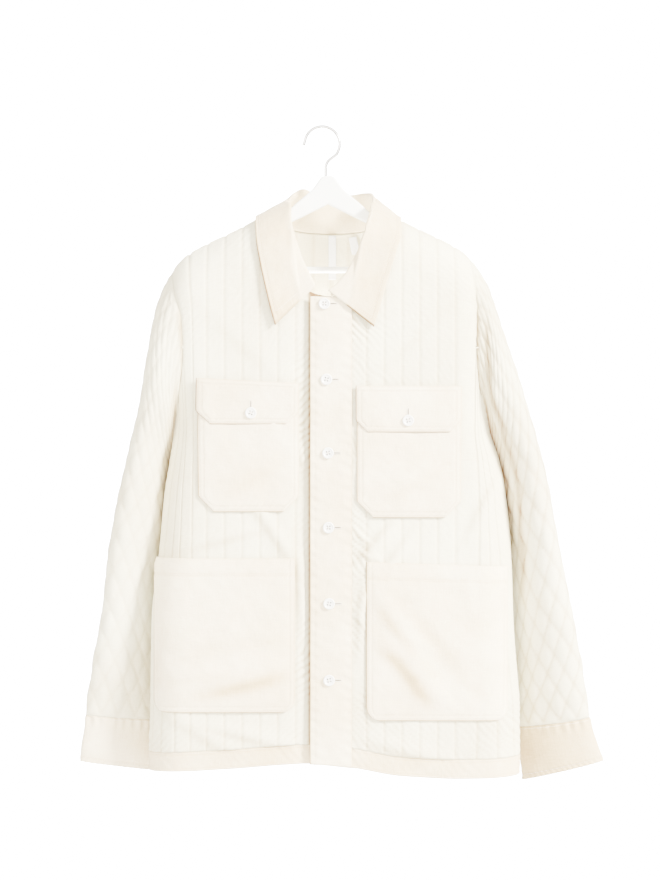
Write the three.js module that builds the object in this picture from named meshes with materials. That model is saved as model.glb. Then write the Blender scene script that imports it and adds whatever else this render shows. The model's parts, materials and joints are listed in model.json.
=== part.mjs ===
import * as THREE from "three";

// A quilted cotton jacket, buttoned, hanging flat on a white hanger with a wire hook.
// Millimetres, +Z up, the front faces -Y, +X to the right as seen from the front.
// The origin is the inner top of the hook, where a rail or a peg carries it.

// Driving sizes
const CENTRE = 12; // x of the centre front line
const DEPTH = 45; // from the middle plane to the flat of the front or back
const SIDE_ROUND = 50; // how far the side rounding reaches in from the side seam
const SHOULDER_ROUND = 60; // how far the shoulder rounding reaches down
const QUILT_WALL = 3; // quilted cloth with its wadding
const QUILT_COLUMN = 12; // half the distance between two lines of quilting
const BODY_PUFF = 1.6; // mean height of the quilting between two lines
const BODY_PUCKER = 0.8; // how much that height changes along a channel
const SLEEVE_PUFF = 2.4; // height of the lattice on the sleeves
const SEAM = 0.26; // half the gap between two pieces at a seam
const SHOULDER_SEAM = 16; // the shoulder seam lies this far forward of the top line
const NECK_HALF = 84; // half the width of the neckline
const NECK_SIDE_Z = -118;
const NECK_FRONT_Z = -233;
const NECK_BACK_Z = -142;
const HEM_BAND = 26; // height of the hem band
const LOWER_ROWS = 8; // rows of the body's grid below the armhole's corner
const UPPER_ROWS = 8; // rows from there to the shoulder
const LAP_COLUMNS = 2; // columns of a front past the centre front line
const LAP_DEPTH = 4; // how far the under front lies behind the over front
const PATCH_LIFT = 3.0; // underside of what lies on the body, from the smooth cloth
const PATCH_WALL = 1.8;
const FLAP_LIFT = PATCH_LIFT + PATCH_WALL + 0.8; // underside of a flap over its pocket

const SLEEVE_RINGS = 22;
const CUFF_RINGS = 2;
const CUFF_END = 1.12; // ring parameter at the cuff's edge, 1 being the cuff seam
const SLEEVE_GAP = 0.6;
const SLEEVE_INNER_GAP = 1; // the sleeve's inner edge stands a little further off at the armhole
const CUFF_WALL = 2.6;

// Side edge of the body by height; above the armpit it is the outline of the sleeve head.
const SIDES = [
  { z: -884, left: -236, right: 270 },
  { z: -790, left: -235, right: 270 },
  { z: -750, left: -234, right: 267 },
  { z: -673, left: -233, right: 262 },
  { z: -580, left: -223, right: 259 },
  { z: -503, left: -216, right: 252 },
  { z: -455, left: -208, right: 243 },
  { z: -412, left: -203, right: 231 },
  { z: -360, left: -208, right: 230 },
  { z: -300, left: -218, right: 232 },
  { z: -230, left: -223, right: 230 },
  { z: -170, left: -223, right: 228 },
];

// Top line of the shoulders across the jacket.
const SHOULDERS = [
  { x: -223, z: -240 },
  { x: -214, z: -216 },
  { x: -206, z: -200 },
  { x: -195, z: -185 },
  { x: -182, z: -174 },
  { x: -107, z: -135.5 },
  { x: -60, z: -111.5 },
  { x: 8, z: -80 },
  { x: 75, z: -112 },
  { x: 123, z: -135.5 },
  { x: 188, z: -168 },
  { x: 203, z: -181 },
  { x: 216, z: -198 },
  { x: 224, z: -215 },
  { x: 230, z: -235 },
];

// Armhole seam from the shoulder down to the armpit.
const ARMHOLES = {
  left: [
    { x: -206, z: -200 },
    { x: -200, z: -232 },
    { x: -191, z: -262 },
    { x: -188, z: -310 },
    { x: -193, z: -355 },
    { x: -203, z: -412 },
  ],
  right: [
    { x: 203, z: -181 },
    { x: 207, z: -215 },
    { x: 210, z: -250 },
    { x: 209, z: -305 },
    { x: 213, z: -357 },
    { x: 231, z: -412 },
  ],
};

// Lower edge of the hem across the jacket.
const HEM = [
  { x: -236, front: -878, back: -878 },
  { x: -130, front: -872, back: -872 },
  { x: -20, front: -865, back: -868 },
  { x: 40, front: -870, back: -870 },
  { x: 105, front: -881, back: -874 },
  { x: 186, front: -885, back: -878 },
  { x: 270, front: -882, back: -882 },
];

// Columns of the quilting grid: straight ones from the centre, then the armhole's and the side seam's.
const COLUMNS = {
  left: { straight: 15, armhole: 18, side: 24 },
  right: { straight: 14, armhole: 16, side: 22 },
};

// The sleeves, ring by ring: 0 is the armhole, 1 the cuff seam. The inner side is the one by the body,
// middle and half are the depth's, and lean turns the ring so that its inner side goes back.
const SLEEVES = {
  left: [
    { s: 0, outX: -206, outZ: -200, inX: -203.4, inZ: -412, middle: 0, half: 45, lean: 0 },
    { s: 0.07, outX: -223, outZ: -240, inX: -208, inZ: -422, middle: 2, half: 50, lean: 6 },
    { s: 0.2, outX: -238, outZ: -314, inX: -211, inZ: -440, middle: 10, half: 60, lean: 20 },
    { s: 0.33, outX: -251, outZ: -390, inX: -212, inZ: -466, middle: 20, half: 66, lean: 31 },
    { s: 0.45, outX: -267, outZ: -460, inX: -212, inZ: -508, middle: 26, half: 67, lean: 35 },
    { s: 0.6, outX: -286, outZ: -553, inX: -218, inZ: -578, middle: 30, half: 62, lean: 37 },
    { s: 0.75, outX: -299, outZ: -650, inX: -225, inZ: -664, middle: 33, half: 54, lean: 40 },
    { s: 0.88, outX: -312, outZ: -730, inX: -221, inZ: -740, middle: 37, half: 44, lean: 46 },
    { s: 1, outX: -325, outZ: -805, inX: -214, inZ: -817, middle: 40, half: 33, lean: 54 },
    { s: 1.12, outX: -334, outZ: -869, inX: -205, inZ: -890, middle: 42, half: 27, lean: 59 },
  ],
  right: [
    { s: 0, outX: 203, outZ: -181, inX: 232, inZ: -412, middle: 0, half: 45, lean: 0 },
    { s: 0.07, outX: 224, outZ: -214, inX: 239, inZ: -424, middle: 2, half: 50, lean: 6 },
    { s: 0.2, outX: 247, outZ: -284, inX: 245, inZ: -444, middle: 8, half: 59, lean: 18 },
    { s: 0.33, outX: 273, outZ: -364, inX: 246, inZ: -468, middle: 14, half: 64, lean: 28 },
    { s: 0.45, outX: 297, outZ: -450, inX: 250, inZ: -510, middle: 18, half: 66, lean: 33 },
    { s: 0.6, outX: 319, outZ: -555, inX: 257, inZ: -590, middle: 20, half: 62, lean: 34 },
    { s: 0.75, outX: 339, outZ: -655, inX: 261, inZ: -686, middle: 20, half: 54, lean: 35 },
    { s: 0.88, outX: 353, outZ: -735, inX: 266, inZ: -762, middle: 20, half: 44, lean: 38 },
    { s: 1, outX: 366, outZ: -806, inX: 270, inZ: -824, middle: 20, half: 34, lean: 42 },
    { s: 1.12, outX: 386, outZ: -866, inX: 277, inZ: -897, middle: 20, half: 24, lean: 46 },
  ],
};

const FRONT = -1;
const BACK = 1;
const SIGN = { left: -1, right: 1 };

const clamp = (value, low, high) => Math.min(Math.max(value, low), high);
const mix = (a, b, t) => a + (b - a) * t;
const ease = (t) => {
  const c = clamp(t, 0, 1);
  return c * c * (3 - 2 * c);
};
const quarterArc = (a, b) => (0.5 * Math.PI * Math.hypot(a, b)) / Math.SQRT2;
const SIDE_ARC = quarterArc(SIDE_ROUND, DEPTH);
const SHOULDER_ARC = quarterArc(SHOULDER_ROUND, DEPTH);

// A smooth curve without overshoot through one column of a table, against another.
function along(rows, key, column) {
  const xs = rows.map((row) => row[key]);
  const ys = rows.map((row) => row[column]);
  const rises = xs.slice(1).map((x, i) => (ys[i + 1] - ys[i]) / (x - xs[i]));
  const slopes = xs.map((x, i) => {
    if (i === 0) return rises[0];
    if (i === xs.length - 1) return rises[i - 1];
    const [before, after] = [rises[i - 1], rises[i]];
    return before * after <= 0 ? 0 : (2 * before * after) / (before + after);
  });
  return (value) => {
    const v = clamp(value, xs[0], xs[xs.length - 1]);
    let i = 0;
    while (i < xs.length - 2 && v > xs[i + 1]) i++;
    const width = xs[i + 1] - xs[i];
    const t = (v - xs[i]) / width;
    const away = t * t * (3 - 2 * t);
    return (
      ys[i] * (1 - away) +
      ys[i + 1] * away +
      width * t * (1 - t) * ((1 - t) * slopes[i] - t * slopes[i + 1])
    );
  };
}

const sideEdges = { left: along(SIDES, "z", "left"), right: along(SIDES, "z", "right") };
const topLine = along(SHOULDERS, "x", "z");
const hemLine = { [FRONT]: along(HEM, "x", "front"), [BACK]: along(HEM, "x", "back") };

// A point of the smooth cloth below the shoulders; round is the distance round from the side seam.
function besideSeam(side, face, round, z) {
  const turn = (clamp(round / SIDE_ARC, -1, 1) * Math.PI) / 2;
  const inward = SIDE_ROUND * (1 - Math.cos(turn)) + Math.max(round - SIDE_ARC, 0);
  const x = sideEdges[side](z) - SIGN[side] * inward;
  return new THREE.Vector3(x, face * DEPTH * Math.sin(turn), z);
}

// A point near the shoulder; drop is the distance down the cloth from the top line, below zero past it.
function overShoulder(side, face, x, drop) {
  const turn = (clamp(drop / SHOULDER_ARC, -1, 1) * Math.PI) / 2;
  const z =
    topLine(x) - SHOULDER_ROUND * (1 - Math.cos(turn)) - Math.max(drop - SHOULDER_ARC, 0);
  const inset = Math.abs(sideEdges[side](z) - x) / SIDE_ROUND;
  const full = inset < 1 ? Math.sqrt(1 - (1 - inset) ** 2) : 1;
  return new THREE.Vector3(x, face * DEPTH * Math.sin(turn) * full, z);
}

function roundOf(side, x, z) {
  const inset = Math.abs(sideEdges[side](z) - x);
  if (inset >= SIDE_ROUND) return SIDE_ARC + inset - SIDE_ROUND;
  return (SIDE_ARC * Math.acos(1 - inset / SIDE_ROUND)) / (Math.PI / 2);
}

function dropOf(x, z) {
  const below = topLine(x) - z;
  if (below >= SHOULDER_ROUND) return SHOULDER_ARC + below - SHOULDER_ROUND;
  return (SHOULDER_ARC * Math.acos(1 - Math.max(below, 0) / SHOULDER_ROUND)) / (Math.PI / 2);
}

// The outward direction of a surface given as a function of two distances.
function outward(surface, p, q, centre) {
  const step = 0.5;
  const across = surface(p + step, q).sub(surface(p - step, q));
  const down = surface(p, q + step).sub(surface(p, q - step));
  const normal = across.cross(down).normalize();
  const away = surface(p, q).sub(centre);
  return normal.dot(away) < 0 ? normal.negate() : normal;
}

const bodyCentre = (z) => new THREE.Vector3(CENTRE, 0, z - 50);

// The armhole seam on one face: q runs from 0 at the shoulder seam to 1 at the armpit.
function armholeSeam(side, face) {
  const seamDrop = face === FRONT ? SHOULDER_SEAM + SEAM : SEAM - SHOULDER_SEAM;
  const rows = ARMHOLES[side].map(({ x, z }, i) => ({
    x,
    drop: i === 0 ? seamDrop : dropOf(x, z),
  }));
  let length = 0;
  rows.forEach((row, i) => {
    if (i > 0) length += Math.hypot(row.x - rows[i - 1].x, row.drop - rows[i - 1].drop);
    row.q = length;
  });
  rows.forEach((row) => (row.q /= length));
  return { x: along(rows, "q", "x"), drop: along(rows, "q", "drop") };
}

const armholes = {
  left: { [FRONT]: armholeSeam("left", FRONT), [BACK]: armholeSeam("left", BACK) },
  right: { [FRONT]: armholeSeam("right", FRONT), [BACK]: armholeSeam("right", BACK) },
};

const LOWER_ARMHOLE = 6; // columns from the armhole's corner to the side seam
const ARMHOLE_STEPS = UPPER_ROWS + LOWER_ARMHOLE;
const CORNER = UPPER_ROWS / ARMHOLE_STEPS;

function armholePoint(side, face, q) {
  const seam = armholes[side][face];
  const x = seam.x(q);
  const drop = seam.drop(q);
  if (q > 0.999) return besideSeam(side, face, SEAM, overShoulder(side, face, x, drop).z);
  return overShoulder(side, face, x, drop);
}

// Distance down the cloth to the top of a column: the neckline, or the shoulder seam outside it.
function columnTop(face, x) {
  const seam = face === FRONT ? SHOULDER_SEAM + SEAM : SEAM - SHOULDER_SEAM;
  const t = Math.abs(x - CENTRE) / NECK_HALF;
  if (t > 0.999) return seam;
  const low = face === FRONT ? NECK_FRONT_Z : NECK_BACK_Z;
  const drop = dropOf(x, NECK_SIDE_Z + (low - NECK_SIDE_Z) * Math.sqrt(1 - t * t));
  return face === FRONT ? drop : mix(seam, drop, clamp((1 - t * t) / 0.5, 0, 1));
}

// The smooth cloth at column u (0 at the centre front line) and row v (0 at the hem seam).
function bodyNode(side, face, u, v) {
  const { straight, armhole, side: last } = COLUMNS[side];
  const corner = armholePoint(side, face, CORNER);
  const straightX = CENTRE + SIGN[side] * QUILT_COLUMN * Math.min(u, straight);
  if (v > LOWER_ROWS) {
    const q = CORNER * (1 - (v - LOWER_ROWS) / UPPER_ROWS);
    const seam = armholes[side][face];
    const x = u <= straight ? straightX : mix(straightX, seam.x(q), (u - straight) / (armhole - straight));
    const risen = (seam.drop(CORNER) - seam.drop(q)) / (seam.drop(CORNER) - seam.drop(0));
    const drop = mix(dropOf(x, corner.z), columnTop(face, x), risen);
    const surface = (p, d) => overShoulder(side, face, p, d);
    return { point: surface(x, drop), normal: outward(surface, x, drop, bodyCentre(corner.z)) };
  }
  // The share of the way from the last straight column to the side seam, at the armhole row and at the hem
  const hemShare = Math.max((u - straight) / (last - straight), 0);
  let topShare = 0;
  let topZ = corner.z;
  if (u > armhole) {
    const low = armholePoint(side, face, mix(CORNER, 1, (u - armhole) / LOWER_ARMHOLE));
    topZ = low.z;
    topShare = 1 - roundOf(side, low.x, low.z) / roundOf(side, straightX, low.z);
  } else if (u > straight) {
    const x = mix(straightX, corner.x, (u - straight) / (armhole - straight));
    topShare = 1 - roundOf(side, x, topZ) / roundOf(side, straightX, topZ);
  }
  const height = v / LOWER_ROWS;
  const hemX = sideEdges[side](-870) * hemShare + straightX * (1 - hemShare);
  const z = mix(hemLine[face](hemX) + HEM_BAND, topZ, height);
  const share = u >= last ? 1 : mix(hemShare, topShare, height);
  const round = Math.max(roundOf(side, straightX, z) * (1 - share), SEAM);
  const surface = (p, q) => besideSeam(side, face, p, q);
  return { point: surface(round, z), normal: outward(surface, round, z, bodyCentre(z)) };
}

// Direction from the armhole seam towards the inside of the armhole, shared by the body and the sleeve.
function armholeLoop(side) {
  const points = [];
  for (let i = 0; i < ARMHOLE_STEPS; i++) points.push(armholePoint(side, FRONT, i / ARMHOLE_STEPS));
  for (let i = ARMHOLE_STEPS; i > 0; i--) points.push(armholePoint(side, BACK, i / ARMHOLE_STEPS));
  const middle = new THREE.Vector3();
  points.forEach((p) => middle.addScaledVector(p, 1 / points.length));
  const count = points.length;
  const inward = points.map((p, i) => {
    const tangent = points[(i + 1) % count].clone().sub(points[(i + count - 1) % count]);
    const direction = new THREE.Vector3(0, tangent.z, -tangent.y).normalize();
    return direction.dot(middle.clone().sub(p)) < 0 ? direction.negate() : direction;
  });
  return { points, inward };
}

const loops = { left: armholeLoop("left"), right: armholeLoop("right") };

// Builds a closed wall from a grid of outer points and a grid of inner points. The inner grid uses every
// stepI-th column, has() tells which cells there are, and the cells turn outwards when i crosses j.
function closedWall({ outer, inner, stepI = 1, wrap = false, has = () => true }) {
  const count = outer.length;
  const last = outer[0].length - 1;
  const cells = wrap ? count : count - 1;
  const at = (grid, i, j) => grid[i % count][j];
  const corners = [];
  const triangle = (a, b, c) => corners.push(a, b, c);
  const strip = (outerPath, innerFrom, innerTo) => {
    triangle(outerPath[0], outerPath[1], innerFrom);
    triangle(outerPath[1], innerTo, innerFrom);
    if (outerPath.length === 3) triangle(outerPath[1], outerPath[2], innerTo);
  };
  const present = (i, j) => {
    if (j < 0 || j >= last) return false;
    if (!wrap && (i < 0 || i >= cells)) return false;
    return has(((i % count) + count) % count, j);
  };
  for (let i = 0; i < cells; i += stepI) {
    const next = i + stepI;
    for (let j = 0; j < last; j++) {
      if (!present(i, j)) continue;
      for (let k = i; k < next; k++) {
        const [a, b, c, d] = [
          at(outer, k, j),
          at(outer, k + 1, j),
          at(outer, k + 1, j + 1),
          at(outer, k, j + 1),
        ];
        if ((k + j) % 2 === 0) {
          triangle(a, b, c);
          triangle(a, c, d);
        } else {
          triangle(a, b, d);
          triangle(b, c, d);
        }
      }
      const [a, b, c, d] = [at(inner, i, j), at(inner, next, j), at(inner, next, j + 1), at(inner, i, j + 1)];
      triangle(a, c, b);
      triangle(a, d, c);
      const across = (row, back) => {
        const path = [];
        for (let k = i; k <= next; k++) path.push(at(outer, k, row));
        return back ? path.reverse() : path;
      };
      if (!present(i, j - 1)) strip(across(j, true), b, a);
      if (!present(i, j + 1)) strip(across(j + 1, false), d, c);
      if (!present(i - stepI, j)) strip([at(outer, i, j), at(outer, i, j + 1)], a, d);
      if (!present(next, j)) strip([at(outer, next, j + 1), at(outer, next, j)], c, b);
    }
  }
  const geometry = new THREE.BufferGeometry().setFromPoints(corners);
  geometry.computeVertexNormals();
  return geometry;
}

// Outward directions of a grid of points, from its neighbours.
function gridNormals(grid, wrap) {
  const count = grid.length;
  return grid.map((row, i) =>
    row.map((point, j) => {
      const before = wrap ? grid[(i + count - 1) % count] : grid[Math.max(i - 1, 0)];
      const after = wrap ? grid[(i + 1) % count] : grid[Math.min(i + 1, count - 1)];
      const across = after[j].clone().sub(before[j]);
      const up = row[Math.min(j + 1, row.length - 1)].clone().sub(row[Math.max(j - 1, 0)]);
      return across.cross(up).normalize();
    }),
  );
}

const moved = (point, direction, distance) => point.clone().addScaledVector(direction, distance);

const quiltedCotton = () => new THREE.MeshStandardMaterial({ color: 0xe9e5d8, roughness: 0.9 });
const plainCotton = () => new THREE.MeshStandardMaterial({ color: 0xefe6d6, roughness: 0.88 });
const buttonResin = () => new THREE.MeshStandardMaterial({ color: 0xf3f1ea, roughness: 0.35 });
const whitePaint = () => new THREE.MeshStandardMaterial({ color: 0xf6f5f2, roughness: 0.45 });
const chromeWire = () => new THREE.MeshStandardMaterial({ color: 0xc9c9cc, roughness: 0.12, metalness: 1 });
const whiteTape = () => new THREE.MeshStandardMaterial({ color: 0xf4f4f4, roughness: 0.8 });

const jacket = new THREE.Group();

function addPiece(name, geometry, material) {
  const mesh = new THREE.Mesh(geometry, material);
  mesh.name = name;
  jacket.add(mesh);
  return mesh;
}

// Columns of a body piece from left to right as seen from the front, each a side and a column number.
function columnsFrom(leftFirst, rightLast) {
  const columns = [];
  for (let u = leftFirst; u > 0; u--) columns.push({ side: "left", u });
  for (let u = Math.max(-leftFirst, 0); u <= rightLast; u++) columns.push({ side: "right", u });
  return columns;
}

// How far the under front lies back below the over front.
function underLap(name, x) {
  return name === "front_left" ? LAP_DEPTH * ease((x + 50) / 28) : 0;
}

function bodyPanel(name, face, columns) {
  const ordered = face === FRONT ? columns : [...columns].reverse();
  const rows = LOWER_ROWS + UPPER_ROWS;
  const outer = [];
  const inner = [];
  const cut = ({ side, u }, v) => u > COLUMNS[side].armhole && v > LOWER_ROWS;
  ordered.forEach((column, i) => {
    const { side, u } = column;
    const { armhole, side: last } = COLUMNS[side];
    const outerColumn = [];
    const innerColumn = [];
    for (let v = 0; v <= rows; v++) {
      if (cut(column, v)) {
        outerColumn.push(null);
        innerColumn.push(null);
        continue;
      }
      const node = bodyNode(side, face, u, v);
      node.point.y -= face * underLap(name, node.point.x);
      const onArmhole = (u === armhole && v >= LOWER_ROWS) || (u >= armhole && v === LOWER_ROWS);
      const onEdge = onArmhole || v === 0 || v === rows || u === last || i === 0 || i === ordered.length - 1;
      const channel = (u - 1) / 2;
      const raised = u % 2 === 1 && !onEdge;
      const lapped = underLap(name, node.point.x) / LAP_DEPTH;
      const pucker = (v + channel) % 2 === 0 ? BODY_PUCKER : -BODY_PUCKER;
      const puff = raised ? (BODY_PUFF + pucker) * (1 - lapped) : 0;
      outerColumn.push(moved(node.point, node.normal, puff));
      if (onArmhole) {
        const q = u === armhole ? rows - v : UPPER_ROWS + u - armhole;
        const index = face === FRONT ? q : (2 * ARMHOLE_STEPS - q) % (2 * ARMHOLE_STEPS);
        const inward = loops[side].inward[index];
        innerColumn.push(moved(node.point, inward, QUILT_WALL));
      } else {
        innerColumn.push(moved(node.point, node.normal, -QUILT_WALL));
      }
    }
    outer.push(outerColumn);
    inner.push(innerColumn);
  });
  const has = (i, j) => {
    const outerMost = [ordered[i], ordered[Math.min(i + 1, ordered.length - 1)]];
    return !(j >= LOWER_ROWS && outerMost.some(({ side, u }) => u > COLUMNS[side].armhole));
  };
  addPiece(name, closedWall({ outer, inner, has }), quiltedCotton());
}

bodyPanel("back", BACK, columnsFrom(COLUMNS.left.side, COLUMNS.right.side));
bodyPanel("front_left", FRONT, columnsFrom(COLUMNS.left.side, LAP_COLUMNS));
bodyPanel("front_right", FRONT, columnsFrom(LAP_COLUMNS, COLUMNS.right.side));

// Sleeves and cuffs: rings from the armhole to the cuff's edge, evenly divided by their length.
const RING_POINTS = 2 * ARMHOLE_STEPS;
const RING_SAMPLES = 160;
const BLEND_END = 0.3; // by here the sleeve has left the armhole's own shape
const sleeveCurves = Object.fromEntries(
  Object.entries(SLEEVES).map(([side, rows]) => [
    side,
    Object.fromEntries(
      ["outX", "outZ", "inX", "inZ", "middle", "half", "lean"].map((key) => [key, along(rows, "s", key)]),
    ),
  ]),
);

function plainRing(side, s) {
  const row = Object.fromEntries(Object.entries(sleeveCurves[side]).map(([key, curve]) => [key, curve(s)]));
  const lean = (row.lean * Math.PI) / 180;
  const fine = [];
  for (let k = 0; k <= RING_SAMPLES; k++) {
    const turn = (2 * Math.PI * k) / RING_SAMPLES;
    const share = (1 - Math.cos(turn)) / 2;
    const y = row.middle - row.half * Math.sin(turn + lean);
    fine.push(new THREE.Vector3(mix(row.outX, row.inX, share), y, mix(row.outZ, row.inZ, share)));
  }
  const lengths = [0];
  for (let k = 1; k <= RING_SAMPLES; k++) lengths.push(lengths[k - 1] + fine[k].distanceTo(fine[k - 1]));
  const ring = [];
  let k = 1;
  for (let i = 0; i < RING_POINTS; i++) {
    const wanted = (lengths[RING_SAMPLES] * i) / RING_POINTS;
    while (lengths[k] < wanted) k++;
    const t = (wanted - lengths[k - 1]) / (lengths[k] - lengths[k - 1]);
    ring.push(fine[k - 1].clone().lerp(fine[k], t));
  }
  return ring;
}

function sleeveRing(side, s) {
  const weight = clamp(1 - s / BLEND_END, 0, 1) ** 2;
  const start = plainRing(side, 0);
  return plainRing(side, s).map((point, i) => {
    const seam = loops[side].points[i].clone();
    seam.x += SIGN[side] * SLEEVE_GAP;
    return point.addScaledVector(seam.sub(start[i]), weight);
  });
}

// Turns rings into columns, ordered so that the tube faces outwards.
function tubeColumns(side, rings) {
  const columns = [];
  for (let i = 0; i < RING_POINTS; i++) {
    const index = side === "left" ? (RING_POINTS - i) % RING_POINTS : i;
    columns.push(rings.map((ring) => ring[index]));
  }
  return columns;
}

function seamEdge(side, point, inward) {
  const edge = moved(point, inward, QUILT_WALL);
  edge.x += SIGN[side] * SLEEVE_INNER_GAP;
  return edge;
}

function addSleeve(side) {
  const rings = [];
  for (let j = 0; j <= SLEEVE_RINGS; j++) rings.push(sleeveRing(side, j / SLEEVE_RINGS));
  const base = tubeColumns(side, rings);
  const normals = gridNormals(base, true);
  const inwardRing = tubeColumns(side, [loops[side].inward]);
  const outer = base.map((column, i) =>
    column.map((point, j) => {
      const full = j === 0 || j === SLEEVE_RINGS ? 0 : j === 1 ? 0.5 : 1;
      return moved(point, normals[i][j], (i + j) % 2 === 1 ? SLEEVE_PUFF * full : 0);
    }),
  );
  const inner = base.map((column, i) =>
    column.map((point, j) =>
      j === 0 ? seamEdge(side, point, inwardRing[i][0]) : moved(point, normals[i][j], -QUILT_WALL),
    ),
  );
  addPiece("sleeve_" + side, closedWall({ outer, inner, stepI: 2, wrap: true }), quiltedCotton());
}

function addCuff(side) {
  const start = 1 + SLEEVE_GAP / 600;
  const rings = [];
  for (let j = 0; j <= CUFF_RINGS; j++) rings.push(sleeveRing(side, mix(start, CUFF_END, j / CUFF_RINGS)));
  const base = tubeColumns(side, rings);
  const normals = gridNormals(base, true);
  const inner = base.map((column, i) => column.map((point, j) => moved(point, normals[i][j], -CUFF_WALL)));
  addPiece("cuff_" + side, closedWall({ outer: base, inner, stepI: 2, wrap: true }), plainCotton());
}

for (const side of ["left", "right"]) {
  addSleeve(side);
  addCuff(side);
}

// The hem band closes the lower edge: plain cotton folded round the quilting, level with it.
const HEM_OUT = 0.6;
const HEM_IN = 3;
const HEM_SEAM = 0.4;

function hemBand(name, face, columns) {
  const ordered = (face === FRONT ? columns : [...columns].reverse()).filter(({ u }) => u % 2 === 0);
  const outer = [];
  const inner = [];
  for (const { side, u } of ordered) {
    const { straight, side: last } = COLUMNS[side];
    const straightX = CENTRE + SIGN[side] * QUILT_COLUMN * Math.min(u, straight);
    const share = Math.max((u - straight) / (last - straight), 0);
    const surface = (p, q) => besideSeam(side, face, p, q);
    const nodes = [HEM_BAND - HEM_SEAM, 0].map((height) => {
      const hemX = sideEdges[side](-870) * share + straightX * (1 - share);
      const z = hemLine[face](hemX) + height;
      const round = Math.max(roundOf(side, straightX, z) * (1 - share), SEAM);
      const point = surface(round, z);
      point.y -= face * underLap(name.replace("hem", "front"), point.x);
      return { point, normal: outward(surface, round, z, bodyCentre(z)) };
    });
    nodes.reverse();
    outer.push(nodes.map(({ point, normal }) => moved(point, normal, HEM_OUT)));
    inner.push(nodes.map(({ point, normal }) => moved(point, normal, -HEM_IN)));
  }
  addPiece(name, closedWall({ outer, inner }), plainCotton());
}

hemBand("hem_back", BACK, columnsFrom(COLUMNS.left.side, COLUMNS.right.side));
hemBand("hem_left", FRONT, columnsFrom(COLUMNS.left.side, LAP_COLUMNS));
hemBand("hem_right", FRONT, columnsFrom(LAP_COLUMNS, COLUMNS.right.side));

// Pieces that lie on the fronts. Left and right are x as seen, corner is the size of the cut or round
// lower corners, and slope is the fall of the top edge to the right.
const PATCHES = [
  {
    name: "chest_pocket_left",
    side: "left",
    left: -167,
    right: -31,
    top: -360,
    bottom: -524,
    slope: 0,
    corner: 21,
    round: false,
    lift: PATCH_LIFT,
  },
  {
    name: "chest_pocket_right",
    side: "right",
    left: 47,
    right: 187.5,
    top: -366,
    bottom: -532,
    slope: 0,
    corner: 22,
    round: false,
    lift: PATCH_LIFT,
  },
  {
    name: "flap_left",
    side: "left",
    left: -169,
    right: -31,
    top: -343.6,
    bottom: -406,
    slope: 7,
    corner: 18,
    round: false,
    lift: FLAP_LIFT,
  },
  {
    name: "flap_right",
    side: "right",
    left: 45.5,
    right: 188,
    top: -354.4,
    bottom: -417,
    slope: 0,
    corner: 16,
    round: false,
    lift: FLAP_LIFT,
  },
  {
    name: "hand_pocket_left",
    side: "left",
    left: -225,
    right: -36.5,
    top: -587,
    bottom: -795,
    slope: 0,
    corner: 19,
    round: true,
    lift: PATCH_LIFT,
  },
  {
    name: "hand_pocket_right",
    side: "right",
    left: 60,
    right: 249,
    top: -592,
    bottom: -806,
    slope: 6,
    corner: 19,
    round: true,
    lift: PATCH_LIFT,
  },
];

// The hand pockets sag in soft folds, given by their ends in the picture plane.
const POCKET_FOLDS = {
  hand_pocket_left: [
    { x1: -205, z1: -790, x2: -60, z2: -752, width: 16, height: 4 },
    { x1: -190, z1: -700, x2: -80, z2: -672, width: 18, height: 2.2 },
  ],
  hand_pocket_right: [
    { x1: 78, z1: -640, x2: 168, z2: -770, width: 13, height: 4 },
    { x1: 76, z1: -700, x2: 135, z2: -790, width: 12, height: 3.2 },
    { x1: 118, z1: -630, x2: 215, z2: -745, width: 15, height: 3 },
  ],
};
const PATCH_CELLS = { hand: { across: 14, up: 7 }, other: { across: 10, up: 3 } };
const CORNER_ROWS = 3;

function foldHeight(folds, x, z) {
  let height = 0;
  for (const { x1, z1, x2, z2, width, height: full } of folds) {
    const [dx, dz] = [x2 - x1, z2 - z1];
    const t = clamp(((x - x1) * dx + (z - z1) * dz) / (dx * dx + dz * dz), 0, 1);
    const away = Math.hypot(x - x1 - t * dx, z - z1 - t * dz) / width;
    height += full * Math.sin(Math.PI * (0.15 + 0.7 * t)) * Math.exp(-away * away);
  }
  return height;
}

function addPatch(patch) {
  const { name, side, left, right, top, bottom, slope, corner, round, lift } = patch;
  const cells = name.startsWith("hand") ? PATCH_CELLS.hand : PATCH_CELLS.other;
  const heights = [];
  for (let k = 0; k < CORNER_ROWS; k++) heights.push((corner * k) / CORNER_ROWS);
  for (let k = 0; k <= cells.up; k++) heights.push(mix(corner, top - bottom, k / cells.up));
  const surface = (p, q) => besideSeam(side, FRONT, p, q);
  const [outer, inner] = [[], []];
  for (let i = 0; i <= cells.across; i++) {
    const p = i / cells.across;
    const [outerColumn, innerColumn] = [[], []];
    heights.forEach((height) => {
      const low = Math.max(corner - height, 0);
      const cut = round ? corner - Math.sqrt(corner * corner - low * low) : low;
      const z = bottom + height - slope * p * (height / (top - bottom));
      const [from, to] = [roundOf(side, left, z), roundOf(side, right, z)];
      const towards = Math.sign(to - from);
      const around = mix(from + towards * cut, to - towards * cut, p);
      const point = surface(around, z);
      const normal = outward(surface, around, z, bodyCentre(z));
      const q = height / (top - bottom);
      const inside = Math.min(1, 6 * p, 6 * (1 - p), 6 * q, 6 * (1 - q));
      const fold = foldHeight(POCKET_FOLDS[name] || [], point.x, point.z) * Math.max(inside, 0);
      outerColumn.push(moved(point, normal, lift + PATCH_WALL + fold));
      innerColumn.push(moved(point, normal, lift));
    });
    outer.push(outerColumn);
    inner.push(innerColumn);
  }
  addPiece(name, closedWall({ outer, inner }), plainCotton());
}

PATCHES.forEach(addPatch);

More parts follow.
